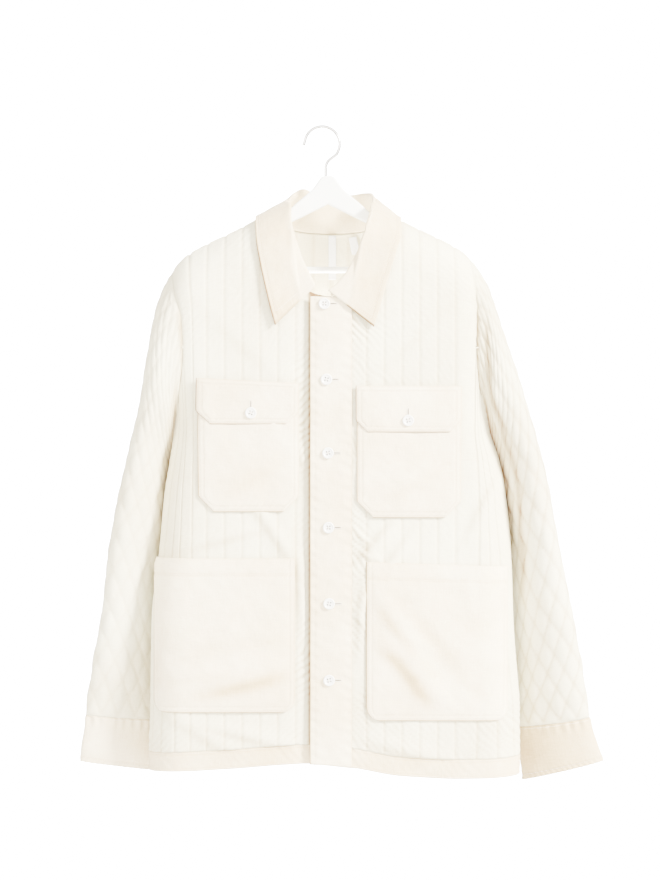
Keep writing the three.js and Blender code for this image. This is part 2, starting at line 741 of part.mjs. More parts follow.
// The button band runs down the over front from the neckline to the lower edge of the hem.
const PLACKET_LEFT = -16.5;
const PLACKET_RIGHT = 40.5;
const PLACKET_TOP = -234;
const PLACKET_ROWS = 10;

function addPlacket() {
  const [outer, inner] = [[], []];
  for (const x of [PLACKET_LEFT, CENTRE, PLACKET_RIGHT]) {
    const [outerColumn, innerColumn] = [[], []];
    for (let j = 0; j <= PLACKET_ROWS; j++) {
      const z = mix(hemLine[FRONT](x), PLACKET_TOP, j / PLACKET_ROWS);
      outerColumn.push(new THREE.Vector3(x, -DEPTH - PATCH_LIFT - PATCH_WALL, z));
      innerColumn.push(new THREE.Vector3(x, -DEPTH - PATCH_LIFT, z));
    }
    outer.push(outerColumn);
    inner.push(innerColumn);
  }
  addPiece("placket", closedWall({ outer, inner }), plainCotton());
}

addPlacket();

// Buttons: turned discs with a raised rim, lying on the band or on a flap.
const BUTTON_RADIUS = 7.8;
const BUTTON_GAP = 0.3;
const BUTTON_SIDES = 12;
const BUTTON_PROFILE = [
  [0, 0],
  [7, 0],
  [BUTTON_RADIUS, 1.4],
  [7, 3],
  [5.8, 3],
  [5, 2.2],
  [0, 2.2],
];
const BUTTONS = [
  { name: "button_1", x: 3.2, z: -243.4, lift: PATCH_LIFT },
  { name: "button_2", x: 5.9, z: -345.5, lift: PATCH_LIFT },
  { name: "button_3", x: 8.1, z: -444.8, lift: PATCH_LIFT },
  { name: "button_4", x: 8.8, z: -545.4, lift: PATCH_LIFT },
  { name: "button_5", x: 9.5, z: -648.1, lift: PATCH_LIFT },
  { name: "button_6", x: 9.5, z: -751.3, lift: PATCH_LIFT },
  { name: "flap_button_left", x: -95.9, z: -390.8, lift: FLAP_LIFT },
  { name: "flap_button_right", x: 116.1, z: -401, lift: FLAP_LIFT },
];

for (const { name, x, z, lift } of BUTTONS) {
  const profile = BUTTON_PROFILE.map(([r, y]) => new THREE.Vector2(r, y));
  const button = addPiece(name, new THREE.LatheGeometry(profile, BUTTON_SIDES), buttonResin());
  button.rotation.x = Math.PI;
  button.position.set(x, -DEPTH - lift - PATCH_WALL - BUTTON_GAP, z);
}

// The collar: one folded wall, from the neckline up the stand, over the fold and down the leaf.
// Station n runs along the neckline, 0 at the centre back, 7 at the shoulder and 14 at the centre front.
const COLLAR_WALL = 2.5;
const COLLAR_SEAM = 0.8;
const COLLAR_RISE = 5; // the stand first goes on in the line of the body
const LEAF_CLEAR = 6.6; // middle of the leaf from the smooth cloth below it
const FOLD_DROP = 3.5;
const FOLD_HALF = 2.4;
const SHOULDER_STATION = 7;
const COLLAR_ENDS = { left: 11.5, right: 14 };
const COLLAR = {
  left: [
    { n: 0, foldX: 12, foldY: 42, foldZ: -89, edgeX: 12, edgeY: 58, edgeZ: -150 },
    { n: 2, foldX: -10, foldY: 40, foldZ: -87, edgeX: -22, edgeY: 57, edgeZ: -150 },
    { n: 4, foldX: -25, foldY: 31, foldZ: -81, edgeX: -60, edgeY: 52, edgeZ: -146 },
    { n: 5.5, foldX: -35, foldY: 16, foldZ: -87, edgeX: -80, edgeY: 38, edgeZ: -136 },
    { n: 7, foldX: -43, foldY: -4, foldZ: -100, edgeX: -91, edgeY: -2, edgeZ: -121.5 },
    { n: 8, foldX: -42.5, foldY: -20, foldZ: -129, edgeX: -89, edgeY: -40, edgeZ: -158 },
    { n: 9, foldX: -35, foldY: -34, foldZ: -158, edgeX: -84, edgeY: -50, edgeZ: -188 },
    { n: 10, foldX: -26, foldY: -43, foldZ: -184, edgeX: -78, edgeY: -52, edgeZ: -217 },
    { n: 11, foldX: -15, foldY: -49, foldZ: -207, edgeX: -70, edgeY: -52, edgeZ: -250 },
    { n: 11.5, foldX: -9, foldY: -52, foldZ: -220, edgeX: -63.5, edgeY: -52, edgeZ: -273 },
  ],
  right: [
    { n: 0, foldX: 12, foldY: 42, foldZ: -89, edgeX: 12, edgeY: 58, edgeZ: -150 },
    { n: 2, foldX: 36, foldY: 41, foldZ: -89, edgeX: 46, edgeY: 57, edgeZ: -150 },
    { n: 4, foldX: 56, foldY: 31, foldZ: -87, edgeX: 82, edgeY: 52, edgeZ: -146 },
    { n: 5.5, foldX: 66, foldY: 16, foldZ: -88, edgeX: 98, edgeY: 38, edgeZ: -138 },
    { n: 7, foldX: 69, foldY: -4, foldZ: -98, edgeX: 108, edgeY: -2, edgeZ: -122.5 },
    { n: 8, foldX: 62, foldY: -20, foldZ: -127, edgeX: 107, edgeY: -40, edgeZ: -150 },
    { n: 9, foldX: 55, foldY: -34, foldZ: -154, edgeX: 101, edgeY: -50, edgeZ: -170 },
    { n: 10, foldX: 45, foldY: -43, foldZ: -178, edgeX: 95, edgeY: -52, edgeZ: -191 },
    { n: 11, foldX: 35, foldY: -49, foldZ: -197, edgeX: 88, edgeY: -52, edgeZ: -213 },
    { n: 12, foldX: 26, foldY: -51, foldZ: -210, edgeX: 82, edgeY: -52, edgeZ: -235 },
    { n: 13, foldX: 17, foldY: -52, foldZ: -219, edgeX: 76, edgeY: -52, edgeZ: -256 },
    { n: 14, foldX: 8, foldY: -53, foldZ: -226, edgeX: 70, edgeY: -52, edgeZ: -275 },
  ],
};
const LEAF_STEPS = [0.25, 0.5, 0.75, 1];

// The body's edge at a whole station, or halfway between two.
function neckEdge(side, n) {
  if (n % 1 !== 0) {
    const [a, b] = [neckEdge(side, Math.floor(n)), neckEdge(side, Math.ceil(n))];
    return { point: a.point.lerp(b.point, 0.5), normal: a.normal.add(b.normal).normalize() };
  }
  const rows = LOWER_ROWS + UPPER_ROWS;
  const face = n < SHOULDER_STATION ? BACK : FRONT;
  const u = n < SHOULDER_STATION ? n : 2 * SHOULDER_STATION - n;
  const node = bodyNode(side, face, u, rows);
  if (side === "left" && face === FRONT) node.point.y += underLap("front_left", node.point.x);
  return node;
}

// Keeps a point of the leaf outside the cloth that it lies on.
function clearOfBody(point, face) {
  const top = topLine(point.x);
  if (face === 0 || point.z > top + 3) return point;
  const t = Math.min((top + LEAF_CLEAR - point.z) / (SHOULDER_ROUND + LEAF_CLEAR), 1);
  const depth = (DEPTH + LEAF_CLEAR) * Math.sqrt(1 - (1 - t) ** 2);
  point.y = face * Math.max(Math.abs(point.y), depth);
  return point;
}

function collarSection(side, n, curves, edge, towardsNeck) {
  const root = moved(edge.point, edge.normal, -QUILT_WALL / 2);
  const fold = new THREE.Vector3(curves.foldX(n), curves.foldY(n), curves.foldZ(n));
  const face = Math.sign(SHOULDER_STATION - n);
  const tip = new THREE.Vector3(curves.edgeX(n), curves.edgeY(n), curves.edgeZ(n));
  clearOfBody(tip, face);
  const start = moved(root, towardsNeck, COLLAR_RISE);
  const standWay = start.clone().sub(fold).normalize();
  const leafWay = tip.clone().sub(fold).normalize();
  const apart = leafWay.clone().sub(standWay).normalize();
  const down = leafWay.clone().add(standWay).normalize();
  const foldIn = fold.clone().addScaledVector(down, FOLD_DROP).addScaledVector(apart, -FOLD_HALF);
  const foldOut = fold.clone().addScaledVector(down, FOLD_DROP).addScaledVector(apart, FOLD_HALF);
  const leaf = LEAF_STEPS.map((t) => clearOfBody(foldOut.clone().lerp(tip, t), face));
  return [
    moved(root, towardsNeck, COLLAR_SEAM),
    start,
    start.clone().lerp(foldIn, 0.5),
    foldIn,
    fold,
    foldOut,
    ...leaf,
  ];
}

function addCollar() {
  const stations = [];
  const nearShoulder = (n) => Math.abs(n - SHOULDER_STATION) < 1.6;
  for (let n = COLLAR_ENDS.left; n > 0; n -= 0.5) {
    if (n % 1 === 0 || nearShoulder(n) || n === COLLAR_ENDS.left) stations.push({ side: "left", n });
  }
  for (let n = 0; n <= COLLAR_ENDS.right; n += 0.5) {
    if (n % 1 === 0 || nearShoulder(n)) stations.push({ side: "right", n });
  }
  const keys = ["foldX", "foldY", "foldZ", "edgeX", "edgeY", "edgeZ"];
  const curves = Object.fromEntries(
    ["left", "right"].map((side) => [
      side,
      Object.fromEntries(keys.map((key) => [key, along(COLLAR[side], "n", key)])),
    ]),
  );
  const edges = stations.map(({ side, n }) => neckEdge(side, n));
  const neckMiddle = new THREE.Vector3(CENTRE, 0, NECK_SIDE_Z + 20);
  const middle = stations.map(({ side, n }, k) => {
    const before = edges[Math.max(k - 1, 0)].point;
    const after = edges[Math.min(k + 1, edges.length - 1)].point;
    const towards = after.clone().sub(before).cross(edges[k].normal).normalize();
    if (towards.dot(neckMiddle.clone().sub(edges[k].point)) < 0) towards.negate();
    return collarSection(side, n, curves[side], edges[k], towards);
  });
  const normals = gridNormals(middle, false);
  const half = COLLAR_WALL / 2;
  const outer = middle.map((row, i) => row.map((point, j) => moved(point, normals[i][j], half)));
  const inner = middle.map((row, i) => row.map((point, j) => moved(point, normals[i][j], -half)));
  addPiece("collar", closedWall({ outer, inner }), plainCotton());
}

addCollar();

// Blank woven tape and a small bare label, sewn in at the back of the neck.
const INSIDE_BACK = DEPTH - QUILT_WALL;

function addLabel(name, x, top, width, length, wall, gap, lean) {
  const label = addPiece(name, new THREE.BoxGeometry(width, wall, length), whiteTape());
  label.position.set(x, INSIDE_BACK - gap - wall / 2, top - length / 2);
  label.rotation.y = lean;
}

addLabel("hang_tape", 14, -144, 10.5, 61, 0.8, 0.4, 0);
addLabel("care_label", 44.5, -146, 11, 24, 0.7, 1.5, -0.2);

// The hanger: two flat arms cut in one, a round bar between their ends, and a wire hook.
const ARM_THICKNESS = 12;
const ARM_EDGE = 2.5; // rounding of the arms' edges
const ARM_BELOW = 5.5; // top of the arms below the shoulder line
const ARM_MIDDLE = 8;
const ARM_SLOPE = 0.49;
const ARM_APEX_Z = -104.6;
const ARM_ENDS = { left: -188, right: 192 };
const BAR_SEATS = { left: -163, right: 177 };
const ARM_FOOT_Z = -203;
const BAR_Z = -194.5;
const BAR_RADIUS = 4.5;
const HOOK_RADIUS = 24; // of the wire's middle
const WIRE_RADIUS = 2;
const NECK_TOP_Z = -66;

// Upper edge of the arms' middle, as distances from it.
const ARM_CROWN = [
  { away: 88, z: -133 },
  { away: 70, z: -125 },
  { away: 55, z: -114 },
  { away: 44, z: -104 },
  { away: 33, z: -95 },
  { away: 21, z: -84 },
  { away: 13, z: -73 },
  { away: 9, z: -67.5 },
  { away: 5, z: NECK_TOP_Z },
];

function addArms() {
  const outline = new THREE.Shape();
  const under = (x) => ARM_APEX_Z - ARM_SLOPE * Math.abs(x - ARM_MIDDLE);
  outline.moveTo(ARM_MIDDLE, ARM_APEX_Z);
  outline.lineTo(BAR_SEATS.right, under(BAR_SEATS.right));
  outline.lineTo(BAR_SEATS.right, ARM_FOOT_Z);
  outline.lineTo(ARM_ENDS.right - 5, ARM_FOOT_Z);
  outline.lineTo(ARM_ENDS.right, ARM_FOOT_Z + 6);
  outline.lineTo(ARM_ENDS.right, topLine(ARM_ENDS.right) - 2 * ARM_BELOW);
  outline.lineTo(ARM_ENDS.right - 10, topLine(ARM_ENDS.right - 10) - ARM_BELOW - 1);
  outline.lineTo(130, topLine(130) - ARM_BELOW);
  for (const { away, z } of ARM_CROWN) outline.lineTo(ARM_MIDDLE + away, z);
  for (const { away, z } of [...ARM_CROWN].reverse()) outline.lineTo(ARM_MIDDLE - away, z);
  outline.lineTo(-110, topLine(-110) - ARM_BELOW);
  outline.lineTo(ARM_ENDS.left + 10, topLine(ARM_ENDS.left + 10) - ARM_BELOW - 1);
  outline.lineTo(ARM_ENDS.left, topLine(ARM_ENDS.left) - 2 * ARM_BELOW);
  outline.lineTo(ARM_ENDS.left, ARM_FOOT_Z + 6);
  outline.lineTo(ARM_ENDS.left + 5, ARM_FOOT_Z);
  outline.lineTo(BAR_SEATS.left, ARM_FOOT_Z);
  outline.lineTo(BAR_SEATS.left, under(BAR_SEATS.left));
  outline.closePath();
  const geometry = new THREE.ExtrudeGeometry(outline, {
    depth: ARM_THICKNESS - 2 * ARM_EDGE,
    bevelThickness: ARM_EDGE,
    bevelSize: ARM_EDGE,
    bevelOffset: -ARM_EDGE,
    bevelSegments: 2,
  });
  const arms = addPiece("hanger_arms", geometry, whitePaint());
  arms.rotation.x = Math.PI / 2;
  arms.position.y = ARM_THICKNESS / 2 - ARM_EDGE;
}

addArms();

const BAR_GAP = 0.4;
const barLength = BAR_SEATS.right - BAR_SEATS.left - 2 * BAR_GAP;
const bar = addPiece("hanger_bar", new THREE.CylinderGeometry(BAR_RADIUS, BAR_RADIUS, barLength, 16), whitePaint());
bar.rotation.z = Math.PI / 2;
bar.position.set((BAR_SEATS.left + BAR_SEATS.right) / 2, 0, BAR_Z);

// The wire rises from the arms, bends aside and runs in an open circle over the origin.
class HookLine extends THREE.CurvePath {
  constructor() {
    super();
    const middle = WIRE_RADIUS - HOOK_RADIUS;
    const flat = (x, z) => new THREE.Vector3(x, 0, z);
    const [from, to] = [(-38 * Math.PI) / 180, (172 * Math.PI) / 180];
    const arc = [];
    const ARC_STEPS = 14;
    for (let k = 0; k <= ARC_STEPS; k++) {
      const turn = mix(from, to, k / ARC_STEPS);
      arc.push(flat(HOOK_RADIUS * Math.cos(turn), middle + HOOK_RADIUS * Math.sin(turn)));
    }
    const base = NECK_TOP_Z + 0.3;
    const stem = [flat(5, base), flat(5, base + 7), flat(5.3, base + 14), flat(9, base + 21)];
    this.add(new THREE.CatmullRomCurve3([...stem, ...arc, flat(-25.5, -24)]));
  }
}

const HOOK_STEPS = 30;
const wire = new THREE.Shape().absarc(0, 0, WIRE_RADIUS, 0, 2 * Math.PI);
addPiece(
  "hanger_hook",
  new THREE.ExtrudeGeometry(wire, {
    steps: HOOK_STEPS,
    curveSegments: 4,
    bevelEnabled: false,
    extrudePath: new HookLine().curves[0],
  }),
  chromeWire(),
);

export default jacket;
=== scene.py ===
import json
import math
from bisect import bisect_right

import bmesh
import bpy
from mathutils import Matrix, Vector, noise

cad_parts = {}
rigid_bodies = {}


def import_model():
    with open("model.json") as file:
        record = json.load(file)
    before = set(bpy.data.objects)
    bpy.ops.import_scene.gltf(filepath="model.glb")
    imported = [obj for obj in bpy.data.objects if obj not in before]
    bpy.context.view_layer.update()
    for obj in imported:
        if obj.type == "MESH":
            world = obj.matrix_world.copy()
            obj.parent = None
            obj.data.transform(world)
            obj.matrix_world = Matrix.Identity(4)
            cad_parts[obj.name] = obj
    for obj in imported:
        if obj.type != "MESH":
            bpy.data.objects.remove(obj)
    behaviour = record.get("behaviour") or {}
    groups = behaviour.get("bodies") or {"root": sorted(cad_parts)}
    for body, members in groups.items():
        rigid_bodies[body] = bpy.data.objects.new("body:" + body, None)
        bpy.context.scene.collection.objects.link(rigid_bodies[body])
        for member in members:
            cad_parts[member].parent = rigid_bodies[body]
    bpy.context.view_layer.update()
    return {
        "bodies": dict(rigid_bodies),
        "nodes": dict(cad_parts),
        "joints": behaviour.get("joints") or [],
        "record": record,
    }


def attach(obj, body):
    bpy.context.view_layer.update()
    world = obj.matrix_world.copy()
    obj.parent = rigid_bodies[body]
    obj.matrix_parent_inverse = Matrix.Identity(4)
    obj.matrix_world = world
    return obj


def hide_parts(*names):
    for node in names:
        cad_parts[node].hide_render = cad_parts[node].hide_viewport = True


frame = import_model()

# The camera stands level in front of the jacket, where the photograph was taken from. Its lens is long,
# and the height of the picture spans 1.188 m at the cloth of the fronts.
CAMERA_AWAY = 3.25
CAMERA_X = 0.0108
CAMERA_Z = -0.4273
LENS_MM = 97.1

camera_data = bpy.data.cameras.new("camera")
camera_data.lens = LENS_MM
camera = bpy.data.objects.new("camera", camera_data)
camera.location = (CAMERA_X, -CAMERA_AWAY, CAMERA_Z)
camera.rotation_euler = (math.radians(90), 0, 0)
bpy.context.collection.objects.link(camera)
bpy.context.scene.camera = camera

# A white studio: an even warm surround, one large lamp from the upper right that models the quilting and
# throws the shadows to the left, weaker ones in front, on the left and behind, a small one inside the body
# that lights the neck from below, and a pale floor.
SURROUND_LIGHT = 2.45
SURROUND_SEEN = 40.0
WARM = (1.0, 0.93, 0.8)
FLOOR_Z = -1.25
FLOOR_HALF_WIDTH = 1.6
FLOOR_HALF_DEPTH = 1.1
BODY_MIDDLE = (0, 0, -0.45)
INSIDE_OF_NECK = (0.012, 0.03, -0.18)

world = bpy.data.worlds.new("studio")
bpy.context.scene.world = world
world.use_nodes = True
nodes = world.node_tree.nodes
links = world.node_tree.links
nodes.clear()
seen = nodes.new("ShaderNodeBackground")
seen.inputs["Strength"].default_value = SURROUND_SEEN
lit = nodes.new("ShaderNodeBackground")
lit.inputs["Color"].default_value = (*WARM, 1)
lit.inputs["Strength"].default_value = SURROUND_LIGHT
ray = nodes.new("ShaderNodeLightPath")
choose = nodes.new("ShaderNodeMixShader")
surround = nodes.new("ShaderNodeOutputWorld")
links.new(ray.outputs["Is Camera Ray"], choose.inputs[0])
links.new(lit.outputs[0], choose.inputs[1])
links.new(seen.outputs[0], choose.inputs[2])
links.new(choose.outputs[0], surround.inputs["Surface"])

for name, place, aim, size, power in (
    ("key", (2.9, -2.1, 1.5), BODY_MIDDLE, 0.9, 1850),
    ("front", (0.5, -3.6, 0.6), BODY_MIDDLE, 1.6, 190),
    ("fill", (-2.6, -2.8, 0.2), BODY_MIDDLE, 2.4, 290),
    ("behind", (-0.6, 2.6, 0.9), BODY_MIDDLE, 2.4, 300),
    ("inside_the_neck", (0.012, 0.0, -0.34), INSIDE_OF_NECK, 0.05, 4.5),
):
    lamp_data = bpy.data.lights.new(name, "AREA")
    lamp_data.size = size
    lamp_data.energy = power
    lamp_data.color = WARM
    lamp = bpy.data.objects.new(name, lamp_data)
    lamp.location = place
    lamp.rotation_euler = (Vector(aim) - Vector(place)).to_track_quat("-Z", "Y").to_euler()
    bpy.context.collection.objects.link(lamp)


def set_inputs(node, values):
    for label, value in values.items():
        node.inputs[label].default_value = value


def new_material(name):
    material = bpy.data.materials.new(name)
    material.use_nodes = True
    return material, material.node_tree, material.node_tree.nodes["Principled BSDF"]


floor_mesh = bpy.data.meshes.new("floor")
bm = bmesh.new()
bmesh.ops.create_grid(bm, x_segments=1, y_segments=1, size=1.0)
bmesh.ops.scale(bm, vec=(FLOOR_HALF_WIDTH, FLOOR_HALF_DEPTH, 1), verts=bm.verts)
bmesh.ops.translate(bm, vec=(0, -FLOOR_HALF_DEPTH / 2, FLOOR_Z), verts=bm.verts)
bm.to_mesh(floor_mesh)
bm.free()
floor = bpy.data.objects.new("floor", floor_mesh)
bpy.context.collection.objects.link(floor)
paint, _, shader = new_material("floor_paint")
set_inputs(shader, {"Base Color": (0.8, 0.8, 0.8, 1), "Roughness": 0.9})
floor_mesh.materials.append(paint)

# Cotton cloth, as every panel and trim is woven from it: a plain weave with thicker threads here and
# there. The weave and the uneven tone are node groups, set to each cloth's own values; the tone goes from
# light to deep at random and with the painted shade held in a mesh attribute, and where that is over about
# 0.65, on to a dark brown painted shadow.
def new_group(name, inputs, outputs):
    group = bpy.data.node_groups.new(name, "ShaderNodeTree")
    for label, kind, value in inputs:
        socket = group.interface.new_socket(name=label, in_out="INPUT", socket_type=kind)
        if value is not None:
            socket.default_value = value
    for label, kind in outputs:
        group.interface.new_socket(name=label, in_out="OUTPUT", socket_type=kind)
    return group, group.nodes.new("NodeGroupInput"), group.nodes.new("NodeGroupOutput")


def math_node(tree, operation, a, b=None):
    node = tree.nodes.new("ShaderNodeMath")
    node.operation = operation
    for index, value in enumerate((a, b)):
        if value is None:
            continue
        if isinstance(value, (int, float)):
            node.inputs[index].default_value = value
        else:
            tree.links.new(value, node.inputs[index])
    return node.outputs[0]


def noise_node(tree, vector, scale, detail=3.0, roughness=0.5, stretch=None):
    if stretch is not None:
        mapping = tree.nodes.new("ShaderNodeMapping")
        set_inputs(mapping, {"Scale": stretch})
        tree.links.new(vector, mapping.inputs["Vector"])
        vector = mapping.outputs[0]
    node = tree.nodes.new("ShaderNodeTexNoise")
    set_inputs(node, {"Scale": scale, "Detail": detail, "Roughness": roughness})
    tree.links.new(vector, node.inputs["Vector"])
    return node.outputs["Fac"]


def colour_mix(tree, factor, a, b):
    node = tree.nodes.new("ShaderNodeMix")
    node.data_type = "RGBA"
    node.clamp_factor = True
    for label, value in (("Factor", factor), ("A", a), ("B", b)):
        tree.links.new(value, node.inputs[label])
    return node.outputs["Result"]


weave, given, gives = new_group(
    "plain_weave",
    [
        ("UV", "NodeSocketVector", None),
        ("Threads", "NodeSocketFloat", 1800.0),
        ("Slub", "NodeSocketFloat", 0.5),
    ],
    [("Height", "NodeSocketFloat"), ("Thread", "NodeSocketFloat")],
)
split = weave.nodes.new("ShaderNodeSeparateXYZ")
weave.links.new(given.outputs["UV"], split.inputs[0])
turns = [math_node(weave, "MULTIPLY", split.outputs[axis], given.outputs["Threads"]) for axis in ("X", "Y")]
warp, weft = [math_node(weave, "SINE", math_node(weave, "MULTIPLY", turn, math.pi)) for turn in turns]
over = math_node(weave, "MULTIPLY", warp, weft)
warp_slub = noise_node(weave, given.outputs["UV"], 1.0, 2.0, 0.5, (900, 60, 1))
weft_slub = noise_node(weave, given.outputs["UV"], 1.0, 2.0, 0.5, (60, 900, 1))
slubs = math_node(weave, "ADD", warp_slub, weft_slub)
slubbed = math_node(weave, "MULTIPLY", slubs, given.outputs["Slub"])
raised = math_node(weave, "MULTIPLY", over, 0.35)
weave.links.new(math_node(weave, "ADD", raised, slubbed), gives.inputs["Height"])
weave.links.new(math_node(weave, "SUBTRACT", slubs, 1.0), gives.inputs["Thread"])

tone, given, gives = new_group(
    "uneven_tone_and_painted_shade",
    [
        ("Vector", "NodeSocketVector", None),
        ("Light", "NodeSocketColor", (0.9, 0.86, 0.78, 1)),
        ("Deep", "NodeSocketColor", (0.8, 0.76, 0.68, 1)),
        ("Painted shadow", "NodeSocketColor", (0.2, 0.115, 0.045, 1)),
        ("Patches", "NodeSocketFloat", 9.0),
        ("Thread", "NodeSocketFloat", 0.0),
        ("Painted shade", "NodeSocketFloat", 0.0),
    ],
    [("Color", "NodeSocketColor")],
)
patches = tone.nodes.new("ShaderNodeTexNoise")
patches.inputs["Detail"].default_value = 4.0
tone.links.new(given.outputs["Vector"], patches.inputs["Vector"])
tone.links.new(given.outputs["Patches"], patches.inputs["Scale"])
spread = math_node(tone, "MULTIPLY", math_node(tone, "SUBTRACT", patches.outputs["Fac"], 0.5), 1.1)
depth = math_node(tone, "ADD", math_node(tone, "ADD", spread, 0.35), given.outputs["Painted shade"])
threaded = math_node(tone, "SUBTRACT", depth, math_node(tone, "MULTIPLY", given.outputs["Thread"], 0.5))
mixed = colour_mix(tone, threaded, given.outputs["Light"], given.outputs["Deep"])
shaded = colour_mix(tone, math_node(tone, "SUBTRACT", threaded, 1.0), mixed, given.outputs["Painted shadow"])
tone.links.new(shaded, gives.inputs["Color"])


def cotton(name, light, deep, patches, threads, slub, lift, sheen, rumple=0.0):
    """A cotton cloth on the piece's own UV map in metres, darkened by the painted shade that the mesh
    attribute carries.
    """
    material, tree, shader = new_material(name)
    set_inputs(shader, {"Sheen Weight": sheen, "Sheen Roughness": 0.6, "Specular IOR Level": 0.25})
    uv = tree.nodes.new("ShaderNodeUVMap")
    uv.uv_map = "cloth"
    place = tree.nodes.new("ShaderNodeTexCoord")
    painted_shade = tree.nodes.new("ShaderNodeAttribute")
    painted_shade.attribute_name = "painted_shade"
    threads_group = tree.nodes.new("ShaderNodeGroup")
    threads_group.node_tree = weave
    set_inputs(threads_group, {"Threads": threads, "Slub": slub})
    tree.links.new(uv.outputs[0], threads_group.inputs["UV"])
    tone_group = tree.nodes.new("ShaderNodeGroup")
    tone_group.node_tree = tone
    set_inputs(tone_group, {"Light": light, "Deep": deep, "Patches": patches})
    tree.links.new(place.outputs["Object"], tone_group.inputs["Vector"])
    tree.links.new(threads_group.outputs["Thread"], tone_group.inputs["Thread"])
    tree.links.new(painted_shade.outputs["Fac"], tone_group.inputs["Painted shade"])
    tree.links.new(tone_group.outputs["Color"], shader.inputs["Base Color"])
    dull = math_node(tree, "MULTIPLY", threads_group.outputs["Height"], 0.12)
    tree.links.new(math_node(tree, "SUBTRACT", 0.97, dull), shader.inputs["Roughness"])
    bump = tree.nodes.new("ShaderNodeBump")
    set_inputs(bump, {"Distance": lift, "Strength": 0.7})
    tree.links.new(threads_group.outputs["Height"], bump.inputs["Height"])
    if rumple:
        soft = tree.nodes.new("ShaderNodeBump")
        set_inputs(soft, {"Distance": rumple})
        tree.links.new(noise_node(tree, place.outputs["Object"], 42, 5, 0.55), soft.inputs["Height"])
        tree.links.new(soft.outputs[0], bump.inputs["Normal"])
    tree.links.new(bump.outputs[0], shader.inputs["Normal"])
    return material


quilted_cotton = cotton(
    "quilted_cotton", (0.86, 0.86, 0.69, 1), (0.58, 0.51, 0.32, 1), 7.0, 2200.0, 0.5, 0.00022, 0.2, 0.0016
)
plain_cotton = cotton(
    "plain_cotton", (0.91, 0.85, 0.67, 1), (0.66, 0.53, 0.29, 1), 11.0, 1700.0, 0.8, 0.0003, 0.2, 0.0022
)
thread_cotton = cotton(
    "sewing_thread", (0.92, 0.87, 0.76, 1), (0.76, 0.67, 0.52, 1), 20.0, 3000.0, 0.3, 0.0001, 0.3
)

# The shape of the jacket's smooth cloth, the same as the solids have: outlines from short tables, a
# rounding at the side seams and over the shoulders, and columns and rows that run along the quilting.
CENTRE = 0.012
DEPTH = 0.045
SIDE_ROUND = 0.05
SHOULDER_ROUND = 0.06
INSIDE_BODY = Vector((CENTRE, 0, -0.5))
QUILT_COLUMN = 0.012
SEAM = 0.00026
SHOULDER_SEAM = 0.016
NECK_HALF = 0.084
NECK_SIDE_Z = -0.118
NECK_FRONT_Z = -0.233
NECK_BACK_Z = -0.142
HEM_BAND = 0.026
HEM_LEVEL = -0.87
LOWER_ROWS = 8
UPPER_ROWS = 8
LOWER_ROW_HIGH = 0.055  # rough heights of a row, enough to fade the quilting out beside a seam
UPPER_ROW_HIGH = 0.02
LOWER_ARMHOLE = 6
LAP_COLUMNS = 2
LAP_DEPTH = 0.004
FRONT, BACK = -1, 1
SIGN = {"left": -1, "right": 1}
COLUMNS = {
    "left": {"straight": 15, "armhole": 18, "side": 24},
    "right": {"straight": 14, "armhole": 16, "side": 22},
}
SIDES = [  # height, side edge on the left, on the right
    (-0.884, -0.236, 0.27),
    (-0.79, -0.235, 0.27),
    (-0.75, -0.234, 0.267),
    (-0.673, -0.233, 0.262),
    (-0.58, -0.223, 0.259),
    (-0.503, -0.216, 0.252),
    (-0.455, -0.208, 0.243),
    (-0.412, -0.203, 0.231),
    (-0.36, -0.208, 0.23),
    (-0.3, -0.218, 0.232),
    (-0.23, -0.223, 0.23),
    (-0.17, -0.223, 0.228),
]
SHOULDERS = [  # across, height of the top line
    (-0.223, -0.24),
    (-0.214, -0.216),
    (-0.206, -0.2),
    (-0.195, -0.185),
    (-0.182, -0.174),
    (-0.107, -0.1355),
    (-0.06, -0.1115),
    (0.008, -0.08),
    (0.075, -0.112),
    (0.123, -0.1355),
    (0.188, -0.168),
    (0.203, -0.181),
    (0.216, -0.198),
    (0.224, -0.215),
    (0.23, -0.235),
]
ARMHOLES = {  # across, height, from the shoulder down
    "left": [
        (-0.206, -0.2),
        (-0.2, -0.232),
        (-0.191, -0.262),
        (-0.188, -0.31),
        (-0.193, -0.355),
        (-0.203, -0.412),
    ],
    "right": [
        (0.203, -0.181),
        (0.207, -0.215),
        (0.21, -0.25),
        (0.209, -0.305),
        (0.213, -0.357),
        (0.231, -0.412),
    ],
}
HEM = [  # across, lower edge in front, behind
    (-0.236, -0.878, -0.878),
    (-0.13, -0.872, -0.872),
    (-0.02, -0.865, -0.868),
    (0.04, -0.87, -0.87),
    (0.105, -0.881, -0.874),
    (0.186, -0.885, -0.878),
    (0.27, -0.882, -0.882),
]


def clamp(value, low, high):
    return min(max(value, low), high)


def mix(a, b, t):
    return a + (b - a) * t


def ease(t):
    t = clamp(t, 0, 1)
    return t * t * (3 - 2 * t)


def bell(distance, width):
    return math.exp(-((distance / width) ** 2))


def wobble(x, y, z):
    return noise.noise(Vector((x, y, z)))


def along(rows, column, key=0):
    """A smooth curve without overshoot through one column of a table, against another."""
    xs = [row[key] for row in rows]
    ys = [row[column] for row in rows]
    rises = [(ys[i + 1] - ys[i]) / (xs[i + 1] - xs[i]) for i in range(len(xs) - 1)]
    slopes = [rises[0]]
    for before, after in zip(rises, rises[1:]):
        slopes.append(0 if before * after <= 0 else 2 * before * after / (before + after))
    slopes.append(rises[-1])

    def curve(value):
        v = clamp(value, xs[0], xs[-1])
        i = min(bisect_right(xs, v) - 1, len(xs) - 2)
        width = xs[i + 1] - xs[i]
        t = (v - xs[i]) / width
        away = t * t * (3 - 2 * t)
        swing = width * t * (1 - t) * ((1 - t) * slopes[i] - t * slopes[i + 1])
        return ys[i] * (1 - away) + ys[i + 1] * away + swing

    return curve


